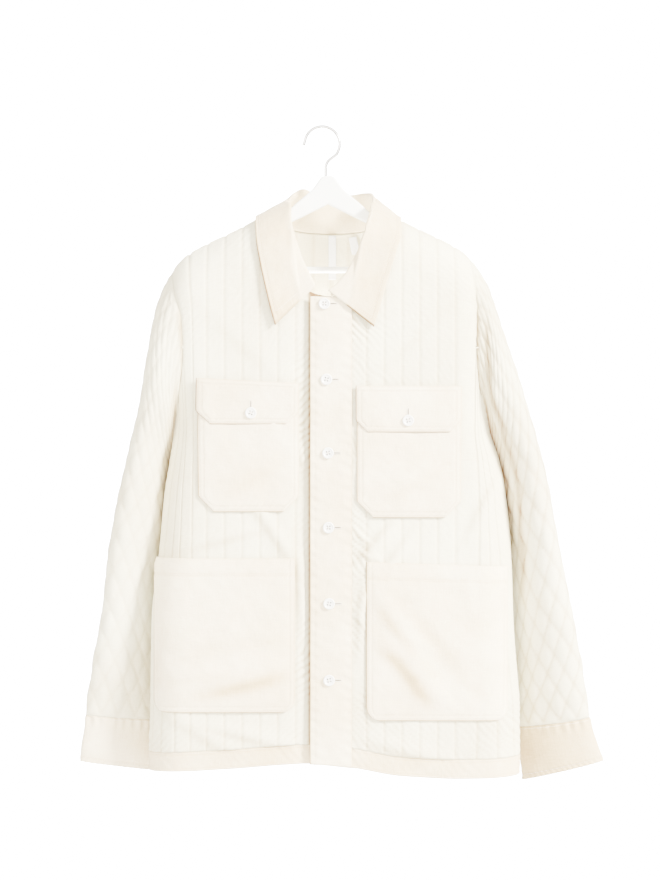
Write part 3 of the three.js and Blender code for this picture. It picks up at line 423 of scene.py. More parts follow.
SIDE_ARC = 0.5 * math.pi * math.hypot(SIDE_ROUND, DEPTH) / math.sqrt(2)
SHOULDER_ARC = 0.5 * math.pi * math.hypot(SHOULDER_ROUND, DEPTH) / math.sqrt(2)
side_edges = {"left": along(SIDES, 1), "right": along(SIDES, 2)}
top_line = along(SHOULDERS, 1)
hem_line = {FRONT: along(HEM, 1), BACK: along(HEM, 2)}


def beside_seam(side, face, round_from_seam, z):
    turn = clamp(round_from_seam / SIDE_ARC, -1, 1) * math.pi / 2
    inward = SIDE_ROUND * (1 - math.cos(turn)) + max(round_from_seam - SIDE_ARC, 0)
    return Vector((side_edges[side](z) - SIGN[side] * inward, face * DEPTH * math.sin(turn), z))


def over_shoulder(side, face, x, drop):
    turn = clamp(drop / SHOULDER_ARC, -1, 1) * math.pi / 2
    z = top_line(x) - SHOULDER_ROUND * (1 - math.cos(turn)) - max(drop - SHOULDER_ARC, 0)
    inset = abs(side_edges[side](z) - x) / SIDE_ROUND
    full = math.sqrt(1 - (1 - inset) ** 2) if inset < 1 else 1
    return Vector((x, face * DEPTH * math.sin(turn) * full, z))


def round_of(side, x, z):
    inset = abs(side_edges[side](z) - x)
    if inset >= SIDE_ROUND:
        return SIDE_ARC + inset - SIDE_ROUND
    return SIDE_ARC * math.acos(1 - inset / SIDE_ROUND) / (math.pi / 2)


def drop_of(x, z):
    below = top_line(x) - z
    if below >= SHOULDER_ROUND:
        return SHOULDER_ARC + below - SHOULDER_ROUND
    return SHOULDER_ARC * math.acos(1 - max(below, 0) / SHOULDER_ROUND) / (math.pi / 2)


def armhole_seam(side, face):
    first = SHOULDER_SEAM + SEAM if face == FRONT else SEAM - SHOULDER_SEAM
    rows = []
    length = 0
    for i, (x, z) in enumerate(ARMHOLES[side]):
        drop = first if i == 0 else drop_of(x, z)
        if rows:
            length += math.hypot(x - rows[-1][1], drop - rows[-1][2])
        rows.append((length, x, drop))
    rows = [(q / length, x, drop) for q, x, drop in rows]
    return along(rows, 1), along(rows, 2)


armholes = {(side, face): armhole_seam(side, face) for side in SIGN for face in (FRONT, BACK)}
ARMHOLE_STEPS = UPPER_ROWS + LOWER_ARMHOLE
CORNER = UPPER_ROWS / ARMHOLE_STEPS


def armhole_point(side, face, q):
    seam_x, seam_drop = armholes[side, face]
    point = over_shoulder(side, face, seam_x(q), seam_drop(q))
    return beside_seam(side, face, SEAM, point.z) if q > 0.999 else point


def column_top(face, x):
    seam = SHOULDER_SEAM + SEAM if face == FRONT else SEAM - SHOULDER_SEAM
    t = abs(x - CENTRE) / NECK_HALF
    if t > 0.999:
        return seam
    low = NECK_FRONT_Z if face == FRONT else NECK_BACK_Z
    drop = drop_of(x, NECK_SIDE_Z + (low - NECK_SIDE_Z) * math.sqrt(1 - t * t))
    return drop if face == FRONT else mix(seam, drop, clamp((1 - t * t) / 0.5, 0, 1))


corners = {(side, face): armhole_point(side, face, CORNER) for side in SIGN for face in (FRONT, BACK)}


def side_of(column):
    return ("left", -column) if column < 0 else ("right", column)


def at_hem(side, u):
    """A column's x where it runs straight, how far it is drawn to the side seam, and its x at the hem."""
    straight, last = COLUMNS[side]["straight"], COLUMNS[side]["side"]
    straight_x = CENTRE + SIGN[side] * QUILT_COLUMN * min(u, straight)
    share = max((u - straight) / (last - straight), 0)
    return straight_x, share, side_edges[side](HEM_LEVEL) * share + straight_x * (1 - share)


def body_point(side, face, u, v):
    """The smooth cloth at column u from the centre front line and row v from the hem's seam."""
    straight, armhole, last = COLUMNS[side]["straight"], COLUMNS[side]["armhole"], COLUMNS[side]["side"]
    corner = corners[side, face]
    straight_x, hem_share, hem_x = at_hem(side, u)
    if v > LOWER_ROWS:
        q = CORNER * (1 - (v - LOWER_ROWS) / UPPER_ROWS)
        seam_x, seam_drop = armholes[side, face]
        x = straight_x
        if u > straight:
            x = mix(straight_x, seam_x(q), (u - straight) / (armhole - straight))
        risen = (seam_drop(CORNER) - seam_drop(q)) / (seam_drop(CORNER) - seam_drop(0))
        return over_shoulder(side, face, x, mix(drop_of(x, corner.z), column_top(face, x), risen))
    top_share = 0
    top_z = corner.z
    if u > armhole:
        low = armhole_point(side, face, mix(CORNER, 1, (u - armhole) / LOWER_ARMHOLE))
        top_z = low.z
        top_share = 1 - round_of(side, low.x, low.z) / round_of(side, straight_x, low.z)
    elif u > straight:
        x = mix(straight_x, corner.x, (u - straight) / (armhole - straight))
        top_share = 1 - round_of(side, x, top_z) / round_of(side, straight_x, top_z)
    height = v / LOWER_ROWS
    z = mix(hem_line[face](hem_x) + HEM_BAND, top_z, height)
    share = 1 if u >= last else mix(hem_share, top_share, height)
    return beside_seam(side, face, max(round_of(side, straight_x, z) * (1 - share), SEAM), z)


# The quilted panels: two layers of cotton with thin wadding between, sewn through in upright lines 24 mm
# apart. The cloth puckers in short slanting ripples along each line and is drawn into drag folds.
QUILT_WALL = 0.003
QUILT_PUFF = 0.0012
QUILT_LINE = 0.5
PUCKER = 0.0008
PUCKER_PITCH = 0.011
BESIDE_BAND = 0.036  # the strong puckers' distance from the centre front line, and their spread
BESIDE_SPREAD = 0.02
ABOVE_HEM_Z = -0.84
ABOVE_HEM_SPREAD = 0.05
SEAM_FADE = 0.006
HEM_MARGIN = 0.004
SEAM_SHADE = 0.12
LINE_SHADE = 0.35
FOLD_SHADE = 0.4
FOLD_REACH = 2.5
USUAL_FOLD = 0.004
FOLD_END = 0.12
HIDDEN_FROM_X = -0.026  # front_left lies flat under the button band, in its dark shade
HIDDEN_SPAN = 0.009
BAND_SHADE_X = -0.0205
BAND_SHADE = 1.5
DRAG_FOLDS = {  # lower end x, z, upper end x, z, width, height
    "front_left": [
        (-0.03, -0.6, -0.1, -0.5, 0.0093, 0.0037),
        (-0.022, -0.46, -0.055, -0.4, 0.0076, 0.0034),
        (-0.024, -0.7, -0.033, -0.56, 0.0068, 0.0031),
        (-0.06, -0.335, -0.15, -0.25, 0.014, 0.0016),
        (-0.185, -0.57, -0.09, -0.545, 0.0102, 0.0034),
        (-0.04, -0.84, -0.16, -0.81, 0.0093, 0.0037),
        (-0.1, -0.86, -0.2, -0.8, 0.0102, 0.0031),
    ],
    "front_right": [
        (0.068, -0.573, 0.046, -0.55, 0.0045, 0.003),
        (0.082, -0.592, 0.05, -0.577, 0.0045, 0.003),
        (0.058, -0.68, 0.045, -0.66, 0.004, 0.0022),
        (0.048, -0.6, 0.1, -0.54, 0.0093, 0.0041),
        (0.05, -0.655, 0.12, -0.56, 0.0085, 0.0034),
        (0.046, -0.47, 0.07, -0.35, 0.0068, 0.0031),
        (0.07, -0.33, 0.17, -0.235, 0.014, 0.0016),
        (0.06, -0.83, 0.17, -0.86, 0.0102, 0.0037),
        (0.05, -0.72, 0.056, -0.62, 0.0059, 0.0027),
        (0.2, -0.56, 0.245, -0.47, 0.0093, 0.0034),
    ],
    "back": [
        (-0.1, -0.3, -0.17, -0.22, 0.017, 0.0037),
        (0.12, -0.3, 0.19, -0.21, 0.017, 0.0037),
        (-0.06, -0.62, 0.09, -0.66, 0.017, 0.0031),
        (0.03, -0.82, 0.17, -0.79, 0.0153, 0.0034),
    ],
}


def fold_at(fold, x, z):
    """The share of the way along a fold, the distance from it and the side of it, both in its widths."""
    x1, z1, x2, z2, width, _ = fold
    dx, dz = x2 - x1, z2 - z1
    t = clamp(((x - x1) * dx + (z - z1) * dz) / (dx * dx + dz * dz), 0, 1)
    past = math.hypot(x - x1 - t * dx, z - z1 - t * dz) / width
    down = 1 if dz < dx else -1
    return t, past, down * ((x - x1) * dz - (z - z1) * dx) / math.hypot(dx, dz) / width


def fold_shade(folds, x, z):
    """Painted shade along the side of each fold that looks away from the key lamp, down to the left."""
    tone = 0
    for fold in folds:
        t, past, beside = fold_at(fold, x, z)
        if past < FOLD_REACH:
            strength = fold[-1] / USUAL_FOLD * math.sin(math.pi * mix(FOLD_END, 1 - FOLD_END, t))
            tone += strength * bell(beside - 0.8, 0.5)
    return tone


def fold_height(folds, x, z, end=FOLD_END):
    height = 0
    for fold in folds:
        t, past, _ = fold_at(fold, x, z)
        if past < FOLD_REACH:
            height += fold[-1] * math.sin(math.pi * mix(end, 1 - end, t)) * bell(past, 1)
    return height


def cloth_grid(columns, rows, place, uv, drop_cell=None):
    """A bmesh grid of cloth: every corner goes where place(i, j) says, with its UV in metres."""
    bm = bmesh.new()
    bmesh.ops.create_grid(bm, x_segments=columns, y_segments=rows, size=0.5)
    painted_shade = bm.verts.layers.float.new("painted_shade")
    keys = {}
    for vert in bm.verts:
        keys[vert] = (round((vert.co.x + 0.5) * columns), round((vert.co.y + 0.5) * rows))
    layer = bm.loops.layers.uv.new("cloth")
    for face in bm.faces:
        for loop in face.loops:
            loop[layer].uv = uv(*keys[loop.vert])
    if drop_cell is not None:
        first = {f: [min(keys[v][axis] for v in f.verts) for axis in (0, 1)] for f in bm.faces}
        gone = [f for f in bm.faces if drop_cell(*first[f])]
        bmesh.ops.delete(bm, geom=gone, context="FACES")
    for vert in bm.verts:
        vert.co = place(*keys[vert])
    return bm, keys, painted_shade


def face_outwards(bm, centre):
    """Turns the cloth so that its faces look away from a point, and refreshes the directions."""
    bm.normal_update()
    looks = sum((f.calc_center_median() - centre).dot(f.normal) * f.calc_area() for f in bm.faces)
    if looks < 0:
        bmesh.ops.reverse_faces(bm, faces=bm.faces)
    bm.normal_update()


def spots(bm, keys):
    """Where each corner of the grid is, and its outward direction."""
    return {keys[v]: (v.co.copy(), v.normal.copy()) for v in bm.verts}


def finish_cloth(name, bm, material, wall, stands_for, smooth=True):
    """Makes the grid an object with a wall, riding on the hanger, in place of its solids."""
    for face in bm.faces:
        face.smooth = smooth
    mesh = bpy.data.meshes.new(name)
    bm.to_mesh(mesh)
    bm.free()
    mesh.materials.append(material)
    piece = bpy.data.objects.new(name, mesh)
    bpy.context.collection.objects.link(piece)
    if wall:
        solid = piece.modifiers.new("wall", "SOLIDIFY")
        solid.thickness = wall
        solid.offset = -1
        solid.use_rim = True
    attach(piece, "root")
    if stands_for:
        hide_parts(*stands_for)
    return piece


def under_lap(name, x):
    return LAP_DEPTH * ease((x + 0.05) / 0.028) if name.endswith("_left") else 0


def quilting(channel, x, z, seed, edge, face):
    """Height and painted shade of the quilting (dark sewn lines and pucker troughs): channel counts the
    sewn lines, edge fades it at the seams.
    """
    across = abs(math.sin(math.pi * channel))
    puff = QUILT_PUFF * (1 - (1 - min(across / QUILT_LINE, 1)) ** 2.4)
    slant = abs(x - CENTRE)
    warp = 0.009 * wobble(x * 34, z * 34, seed)
    phase = 2 * math.pi * (z + slant + warp) / PUCKER_PITCH
    patchy = clamp(0.6 + 1.3 * wobble(x * 16 + 5, z * 13, seed + 3), 0.1, 1.3)
    beside_band = bell(slant - BESIDE_BAND, BESIDE_SPREAD) if face == FRONT else 0
    above_hem = bell(z - ABOVE_HEM_Z, ABOVE_HEM_SPREAD)
    drawn = min(0.5 + 1.4 * beside_band + 0.7 * above_hem, 2)
    ripple = PUCKER * math.sin(phase) * patchy * drawn * (0.5 + 0.5 * (1 - across))
    trough_shade = LINE_SHADE * max(-math.sin(phase - 0.7), 0) * patchy * (drawn - 0.35)
    swell = 0.0013 * wobble(channel * 0.35, z * 12, seed + 7)
    return (puff + ripple + swell) * edge, ((1 - across) ** 6 * LINE_SHADE + trough_shade) * edge


def quilted_panel(name, face, left_first, right_last, fine, up, seed):
    """left_first and right_last are whole columns from the centre front line. fine cells make one."""
    spans = (left_first + right_last) * fine
    up, up_above = up
    rows = LOWER_ROWS * up + UPPER_ROWS * up_above

    def column(i):
        return side_of(i / fine - left_first)

    def row(j):
        return j / up if j <= LOWER_ROWS * up else LOWER_ROWS + (j - LOWER_ROWS * up) / up_above

    def place(i, j):
        side, u = column(i)
        v = row(j)
        if u > COLUMNS[side]["armhole"] and v > LOWER_ROWS:
            v = LOWER_ROWS
        point = body_point(side, face, u, v)
        point.y -= face * under_lap(name, point.x)
        return point

    def dropped(i, j):
        side, u = column(i + 0.5)
        return u > COLUMNS[side]["armhole"] and j >= LOWER_ROWS * up

    def uv(i, j):
        return (i * QUILT_COLUMN / fine, body_point("right", face, 4, row(j)).z)

    bm, keys, painted_shade = cloth_grid(spans, rows, place, uv, dropped)
    face_outwards(bm, INSIDE_BODY)
    for vert in bm.verts:
        i, j = keys[vert]
        side, u = column(i)
        v = row(j)
        armhole, last = COLUMNS[side]["armhole"], COLUMNS[side]["side"]
        from_side = (last if v <= LOWER_ROWS else armhole) - u
        from_top = (LOWER_ROWS + UPPER_ROWS - v) * UPPER_ROW_HIGH
        if u > armhole:
            from_top = (LOWER_ROWS - v) * LOWER_ROW_HIGH
        elif v <= LOWER_ROWS:
            from_top = math.hypot((armhole - u) * QUILT_COLUMN, (LOWER_ROWS - v) * LOWER_ROW_HIGH)
        from_hem = v * LOWER_ROW_HIGH + HEM_MARGIN
        edge = ease(min(from_side * QUILT_COLUMN, from_top, from_hem) / SEAM_FADE)
        x, z = vert.co.x, vert.co.z
        shown = 1 - ease((x - HIDDEN_FROM_X) / HIDDEN_SPAN) if name == "front_left" else 1
        channel = u / 2 * SIGN[side] + 40
        height, line = quilting(channel, x, z, seed, edge, face)
        height += fold_height(DRAG_FOLDS[name], x, z) * edge
        vert.co += vert.normal * height * shown
        # Painted shade: darker along the sewn lines and in the pucker troughs, near the seams, on the
        # shaded side of the drag folds and, on front_left, under the button band from just beside its left
        # edge.
        fold_shadow = fold_shade(DRAG_FOLDS[name], x, z) * edge * shown
        vert[painted_shade] = line + SEAM_SHADE * (1 - edge) + FOLD_SHADE * fold_shadow
        if name == "front_left":
            vert[painted_shade] += BAND_SHADE * ease((x - BAND_SHADE_X) / 0.004)
    return finish_cloth(name, bm, quilted_cotton, QUILT_WALL, [name])


back = quilted_panel("back", BACK, 24, 22, 4, (16, 8), 1.0)
front_left = quilted_panel("front_left", FRONT, 24, LAP_COLUMNS, 6, (22, 11), 2.0)
front_right = quilted_panel("front_right", FRONT, -LAP_COLUMNS, 22, 6, (22, 11), 3.0)

# The sleeves: quilted tubes set into the armholes, hanging straight down with their inner side behind the
# body. The quilting changes to a lattice of tall diamonds, padded well out between the crossing lines.
SLEEVE_GAP = 0.0002
SEAM_ALLOWANCE = 0.007
ALLOWANCE_INWARD = 0.0035
SLEEVE_PUFF = 0.0027
DIAMOND_WIDE = 0.024
DIAMOND_HIGH = 0.05
SLEEVE_AROUND = 128
SLEEVE_ALONG = 220
SLEEVE_LENGTH = 0.63
SLEEVE_GIRTH = 0.29
SLEEVE_LINE_SHADE = {"left": 0.3, "right": 0.7}
SLEEVE_SHADE = 1.15
LONG_FOLD = 0.0022
LONG_FOLD_FROM_BODY = 0.016
CUFF_END = 1.12
BLEND_END = 0.3
RING_SAMPLES = 160
SLEEVES = {  # place along, outer x, z, inner x, z, middle depth, half depth, lean in degrees
    "left": [
        (0, -0.206, -0.2, -0.2034, -0.412, 0, 0.045, 0),
        (0.07, -0.223, -0.24, -0.2045, -0.422, 0.002, 0.05, 6),
        (0.2, -0.238, -0.314, -0.2025, -0.44, 0.01, 0.06, 20),
        (0.33, -0.251, -0.39, -0.203, -0.466, 0.02, 0.066, 31),
        (0.45, -0.267, -0.46, -0.204, -0.508, 0.026, 0.067, 35),
        (0.6, -0.286, -0.553, -0.213, -0.578, 0.03, 0.062, 37),
        (0.75, -0.299, -0.65, -0.225, -0.664, 0.033, 0.054, 40),
        (0.88, -0.312, -0.73, -0.221, -0.74, 0.037, 0.044, 46),
        (1, -0.325, -0.805, -0.214, -0.817, 0.04, 0.033, 54),
        (1.12, -0.334, -0.869, -0.205, -0.89, 0.042, 0.027, 59),
    ],
    "right": [
        (0, 0.203, -0.181, 0.232, -0.412, 0, 0.045, 0),
        (0.07, 0.224, -0.214, 0.2335, -0.424, 0.002, 0.05, 6),
        (0.2, 0.247, -0.284, 0.2305, -0.444, 0.008, 0.059, 18),
        (0.33, 0.273, -0.364, 0.233, -0.468, 0.014, 0.064, 28),
        (0.45, 0.297, -0.45, 0.239, -0.51, 0.018, 0.066, 33),
        (0.6, 0.319, -0.555, 0.257, -0.59, 0.02, 0.062, 34),
        (0.75, 0.339, -0.655, 0.261, -0.686, 0.02, 0.054, 35),
        (0.88, 0.353, -0.735, 0.266, -0.762, 0.02, 0.044, 38),
        (1, 0.366, -0.806, 0.27, -0.824, 0.02, 0.034, 42),
        (1.12, 0.386, -0.866, 0.277, -0.897, 0.02, 0.024, 46),
    ],
}
SLEEVE_FOLDS = {  # lower end: share of the way round and along, upper end, width, height
    "left": [
        (0.10, 0.62, 0.3, 0.5, 0.035, 0.003),
        (0.3, 0.78, 0.12, 0.66, 0.03, 0.0025),
        (0.2, 0.25, 0.34, 0.14, 0.03, 0.003),
        (0.28, 0.95, 0.1, 0.86, 0.03, 0.0025),
    ],
    "right": [
        (0.3, 0.58, 0.1, 0.47, 0.035, 0.003),
        (0.1, 0.76, 0.3, 0.66, 0.03, 0.0025),
        (0.32, 0.24, 0.18, 0.12, 0.03, 0.003),
        (0.12, 0.95, 0.3, 0.87, 0.03, 0.0025),
    ],
}
sleeve_curves = {side: [along(rows, k) for k in range(1, 8)] for side, rows in SLEEVES.items()}
seam_across = {side: along(rows[::-1], 0, 1) for side, rows in ARMHOLES.items()}
fold_scale = (SLEEVE_GIRTH, SLEEVE_LENGTH, SLEEVE_GIRTH, SLEEVE_LENGTH, 1, 1)
sleeve_folds = {
    side: [[value * scale for value, scale in zip(fold, fold_scale)] for fold in folds]
    for side, folds in SLEEVE_FOLDS.items()
}


def spaced(fine, count):
    """Points at equal distances along a line of many, with both of its ends, and its length."""
    lengths = [0]
    for before, after in zip(fine, fine[1:]):
        lengths.append(lengths[-1] + (after - before).length)
    path = []
    k = 1
    for m in range(count + 1):
        wanted = lengths[-1] * m / count
        while k < len(lengths) - 1 and lengths[k] < wanted:
            k += 1
        t = (wanted - lengths[k - 1]) / max(lengths[k] - lengths[k - 1], 1e-9)
        path.append(fine[k - 1].lerp(fine[k], clamp(t, 0, 1)))
    return path, lengths[-1]


def plain_ring(side, s, count):
    out_x, out_z, in_x, in_z, middle, half, lean = [curve(s) for curve in sleeve_curves[side]]
    fine = []
    for k in range(RING_SAMPLES + 1):
        turn = 2 * math.pi * k / RING_SAMPLES
        share = (1 - math.cos(turn)) / 2
        y = middle - half * math.sin(turn + math.radians(lean))
        fine.append(Vector((mix(out_x, in_x, share), y, mix(out_z, in_z, share))))
    ring, length = spaced(fine, count)
    return ring[:-1], length


def armhole_ring(side, count):
    ring = []
    for i in range(count):
        q = 2 * i / count
        point = armhole_point(side, FRONT, q) if q <= 1 else armhole_point(side, BACK, 2 - q)
        ring.append(point + Vector((SIGN[side] * SLEEVE_GAP, 0, 0)))
    return ring


def sleeve_rings(side, places, count):
    start, _ = plain_ring(side, 0, count)
    seam = armhole_ring(side, count)
    rings = []
    lengths = []
    middle = sum(seam, Vector()) / count
    for s in places:
        weight = clamp(1 - s / BLEND_END, 0, 1) ** 2
        ring, length = plain_ring(side, max(s, 0), count)
        if s < 0:
            inside = Vector((-SIGN[side] * SEAM_ALLOWANCE, 0, 0))
            ring = [p + inside + (middle - p).normalized() * ALLOWANCE_INWARD for p in seam]
        else:
            ring = [p + (seam[i] - start[i]) * weight for i, p in enumerate(ring)]
        rings.append(ring)
        lengths.append(length)
    return rings, lengths


def tube(name, side, places, count, relief, material, wall):
    """A cloth tube through the sleeve's rings. relief gives height and painted shade from the share of the
    way round, the distance round from the outer edge, the place along and the corner."""
    rings, lengths = sleeve_rings(side, places, count)
    place = lambda i, j: rings[j][i % count]
    uv = lambda i, j: (i / count * lengths[0], places[j] * SLEEVE_LENGTH)
    bm, keys, painted_shade = cloth_grid(count, len(places) - 1, place, uv)
    bmesh.ops.remove_doubles(bm, verts=bm.verts, dist=1e-6)
    keys = {vert: (keys[vert][0] % count, keys[vert][1]) for vert in bm.verts}
    bm.normal_update()
    axis = [sum(ring, Vector()) / count for ring in rings]
    looks = sum((v.co - axis[keys[v][1]]).dot(v.normal) for v in bm.verts)
    if looks < 0:
        bmesh.ops.reverse_faces(bm, faces=bm.faces)
        bm.normal_update()
    for vert in bm.verts:
        i, j = keys[vert]
        fraction = i / count
        signed = fraction if fraction <= 0.5 else fraction - 1
        height, line = relief(fraction, signed * lengths[j], places[j], vert)
        vert.co += vert.normal * height
        vert[painted_shade] = line
    points = spots(bm, keys)
    return finish_cloth(name, bm, material, wall, [name]), points


def beside_body(side, fraction, s, co, seed):
    """How much painted shade the sleeve gets next to the body and at its armhole seam, and the ridge of the
    right one's long fold there.
    """
    beside = seam_across if co.z > ARMHOLES[side][-1][1] else side_edges
    from_body = abs(co.x) - abs(beside[side](co.z))
    behind = bell(max(from_body, 0), 0.007) * ease((co.z + 0.62) / 0.1)
    ridge = 0
    if side == "right":
        away = from_body - LONG_FOLD_FROM_BODY - 0.006 * wobble(co.z * 9, 0, seed)
        long_fold = bell(away, 0.004) * ease((co.z + 0.7) / 0.12) * ease((-0.22 - co.z) / 0.04)
        behind = max(1.25 * behind, 0.9 * long_fold)
        ridge = bell(away - 0.008, 0.006)
        ridge *= ease((0.48 - fraction) / 0.06) * ease((fraction - 0.2) / 0.1)
    from_outside = min(fraction, 1 - fraction)
    inner_side = ease((from_outside - 0.12) / 0.1) * (1 if fraction < 0.5 else 0.4)
    seam = bell(max(s, 0), 0.018) * ease((from_outside - 0.13) / 0.1)
    return max(behind * ease((s - 0.01) / 0.06) * inner_side, seam), ridge


def sleeve_relief(side, seed):
    def relief(fraction, around, s, vert):
        a = around / DIAMOND_WIDE + 0.5
        b = s * SLEEVE_LENGTH / DIAMOND_HIGH
        a += 0.06 * wobble(a * 0.5, b * 0.7, seed)
        lattice = abs(math.sin(math.pi * (a + b)) * math.sin(math.pi * (a - b)))
        edge = ease(max(min(s, 1 - s), 0) * SLEEVE_LENGTH / 0.007)
        pad = SLEEVE_PUFF * lattice**0.45 * (0.8 + 0.4 * wobble(a, b, seed + 2))
        swell = 0.0016 * wobble(a * 0.25, b * 0.4, seed + 5)
        wrinkle = 0.0003 * wobble(a * 3, b * 5, seed + 9)
        shade, ridge = beside_body(side, fraction, s, vert.co, seed)
        folds = fold_height(sleeve_folds[side], fraction * SLEEVE_GIRTH, s * SLEEVE_LENGTH, 0.1)
        folds += LONG_FOLD * ridge
        # Painted shade: the lattice's sewn lines are darker, more on the right sleeve, and the sleeve is
        # darker beside the body.
        line = (1 - min(lattice**0.45 * 1.5, 1)) * SLEEVE_LINE_SHADE[side] * edge
        return (pad + swell + wrinkle + folds) * edge, line + SLEEVE_SHADE * shade

    return relief


def cuff_relief(side, seed):
    def relief(fraction, around, s, vert):
        down = (s - 1) * SLEEVE_LENGTH
        from_end = (CUFF_END - 1) * SLEEVE_LENGTH - down
        warp = 2 * wobble(around * 40, 0, seed)
        gather = 0.0014 * math.sin(2 * math.pi * around / 0.013 + warp)
        gathers = gather * bell(down - 0.003, 0.012) * ease(down / 0.002)
        pucker = 0.0009 * math.sin(2 * math.pi * (around + down * 0.6) / 0.0078)
        puckers = pucker * bell(from_end, 0.007)
        low_row = -0.0004 * bell(from_end - 0.007, 0.001)
        top_row = -0.0004 * bell(down - 0.0022, 0.001)
        swell = 0.0012 * wobble(around * 22, down * 30, seed + 4)
        # Painted shade: darker along both rows of stitching, a little all round, and much more on the front
        # of the right cuff.
        line = 0.4 * bell(from_end - 0.007, 0.0012) + 0.2 * bell(down, 0.002)
        in_front = 0.5 + 0.5 * math.sin(2 * math.pi * fraction)
        shade = mix(*CUFF_SHADE[side], in_front)
        return gathers + puckers + low_row + top_row + swell, line + shade

    return relief


SEWN_PITCH = 0.0033
SEWN_LENGTH = 0.0023
THREAD_RADIUS = 0.00027
THREAD_LIFT = 0.00012


def add_bar(bm, frame, place, size):
    """A small straight bar, as a piece of thread, at a place in a frame of its own."""
    bar = frame @ Matrix.Translation(place) @ Matrix.Diagonal((*size, 1))
    bmesh.ops.create_cube(bm, size=1, matrix=bar)


def sew(bm, path):
    """Stitches along a path of (point, outward direction) pairs: one thread, up and down again."""
    carried = 0
    for (a, na), (b, nb) in zip(path, path[1:]):
        length = (b - a).length
        if length < 1e-7:
            continue
        way = (b - a) / length
        at = SEWN_PITCH - carried if carried else 0
        while at < length:
            t = at / length
            out = (na.lerp(nb, t)).normalized()
            side = way.cross(out).normalized()
            spin = Matrix((way, side, out)).transposed().to_4x4()
            spin.translation = a.lerp(b, t) + out * THREAD_LIFT
            add_bar(bm, spin, (0, 0, 0), (SEWN_LENGTH, 2 * THREAD_RADIUS, 1.6 * THREAD_RADIUS))
            at += SEWN_PITCH
        carried = (length - at + SEWN_PITCH) % SEWN_PITCH


def finish_stitches(name, bm):
    layer = bm.loops.layers.uv.new("cloth")
    for face in bm.faces:
        for loop in face.loops:
            loop[layer].uv = (loop.vert.co.x, loop.vert.co.z)
    return finish_cloth(name, bm, thread_cotton, 0, [], smooth=False)


def stitches(name, paths):
    bm = bmesh.new()
    for path in paths:
        sew(bm, path)
    finish_stitches(name, bm)


sleeves = {}
cuffs = {}
for side, seed in (("left", 11.0), ("right", 17.0)):
    sleeve_places = [-0.01] + [j / SLEEVE_ALONG for j in range(SLEEVE_ALONG + 1)]
    sleeves[side], _ = tube(
        "sleeve_" + side, side, sleeve_places, SLEEVE_AROUND, sleeve_relief(side, seed), quilted_cotton,
        QUILT_WALL,
    )

# The cuffs: plain cotton bands that the sleeves are gathered into, with a row of stitching along both
# edges; the lower one puckers.
CUFF_WALL = 0.0024
CUFF_ROWS = 44
CUFF_AROUND = 144
CUFF_SHADE = {"left": (0.1, 0.1), "right": (0.15, 0.75)}  # behind, in front

for side, seed in (("left", 23.0), ("right", 29.0)):
    cuff_places = [mix(1 + SLEEVE_GAP / 0.6, CUFF_END, j / CUFF_ROWS) for j in range(CUFF_ROWS + 1)]
    cuffs[side], points = tube(
        "cuff_" + side, side, cuff_places, CUFF_AROUND, cuff_relief(side, seed), plain_cotton, CUFF_WALL,
    )
    rounds = [[points[i % CUFF_AROUND, row] for i in range(CUFF_AROUND + 1)] for row in (2, CUFF_ROWS - 4)]
    stitches("cuff_stitches_" + side, rounds)

# The hem band: plain cotton folded up over the quilting all round the lower edge and stitched down.
HEM_OUT = 0.0006
HEM_WALL = 0.0034
HEM_SEAM = 0.0004
HEM_FINE = 4
HEM_ROWS = 14
HEM_SHADE = 0.4


def hem_band(name, face, left_first, right_last, seed):
    def place(i, j):
        side, u = side_of(i / HEM_FINE - left_first)
        straight_x, share, hem_x = at_hem(side, u)
        z = hem_line[face](hem_x) + (HEM_BAND - HEM_SEAM) * j / HEM_ROWS
        point = beside_seam(side, face, max(round_of(side, straight_x, z) * (1 - share), SEAM), z)
        point.y -= face * under_lap(name, point.x)
        return point

    uv = lambda i, j: (i * QUILT_COLUMN / HEM_FINE, HEM_BAND * j / HEM_ROWS)
    columns = (left_first + right_last) * HEM_FINE
    bm, keys, painted_shade = cloth_grid(columns, HEM_ROWS, place, uv)
    face_outwards(bm, Vector((CENTRE, 0, HEM_LEVEL)))
    for vert in bm.verts:
        i, j = keys[vert]
        up = HEM_BAND * j / HEM_ROWS
        x = vert.co.x
        drawn = max(wobble(x * 14, 0, seed + 1), 0) + 0.15
        warp = 6 * wobble(x * 24, 0, seed)
        ripple = 0.001 * drawn * math.sin(2 * math.pi * (x + 0.8 * up) / 0.013 + warp)
        swell = 0.0013 * wobble(x * 25, up * 50, seed)
        line = bell(up - 0.0235, 0.0014) + 0.6 * bell(up - 0.003, 0.0012)
        vert.co += vert.normal * (HEM_OUT + ripple + swell - 0.0004 * line)
        # Painted shade: darker along both rows of stitching and a deeper tone over the whole band.
        vert[painted_shade] = 0.3 * line + HEM_SHADE
    points = spots(bm, keys)
    band = finish_cloth(name, bm, plain_cotton, HEM_WALL, [name])
    rows = [[points[i, row] for i in range(columns + 1)] for row in (1, HEM_ROWS - 1)]
    stitches(name.replace("hem", "hem_stitches"), rows)
    return band


hem_back = hem_band("hem_back", BACK, 24, 22, 31.0)
hem_left = hem_band("hem_left", FRONT, 24, LAP_COLUMNS, 33.0)
hem_right = hem_band("hem_right", FRONT, -LAP_COLUMNS, 22, 35.0)

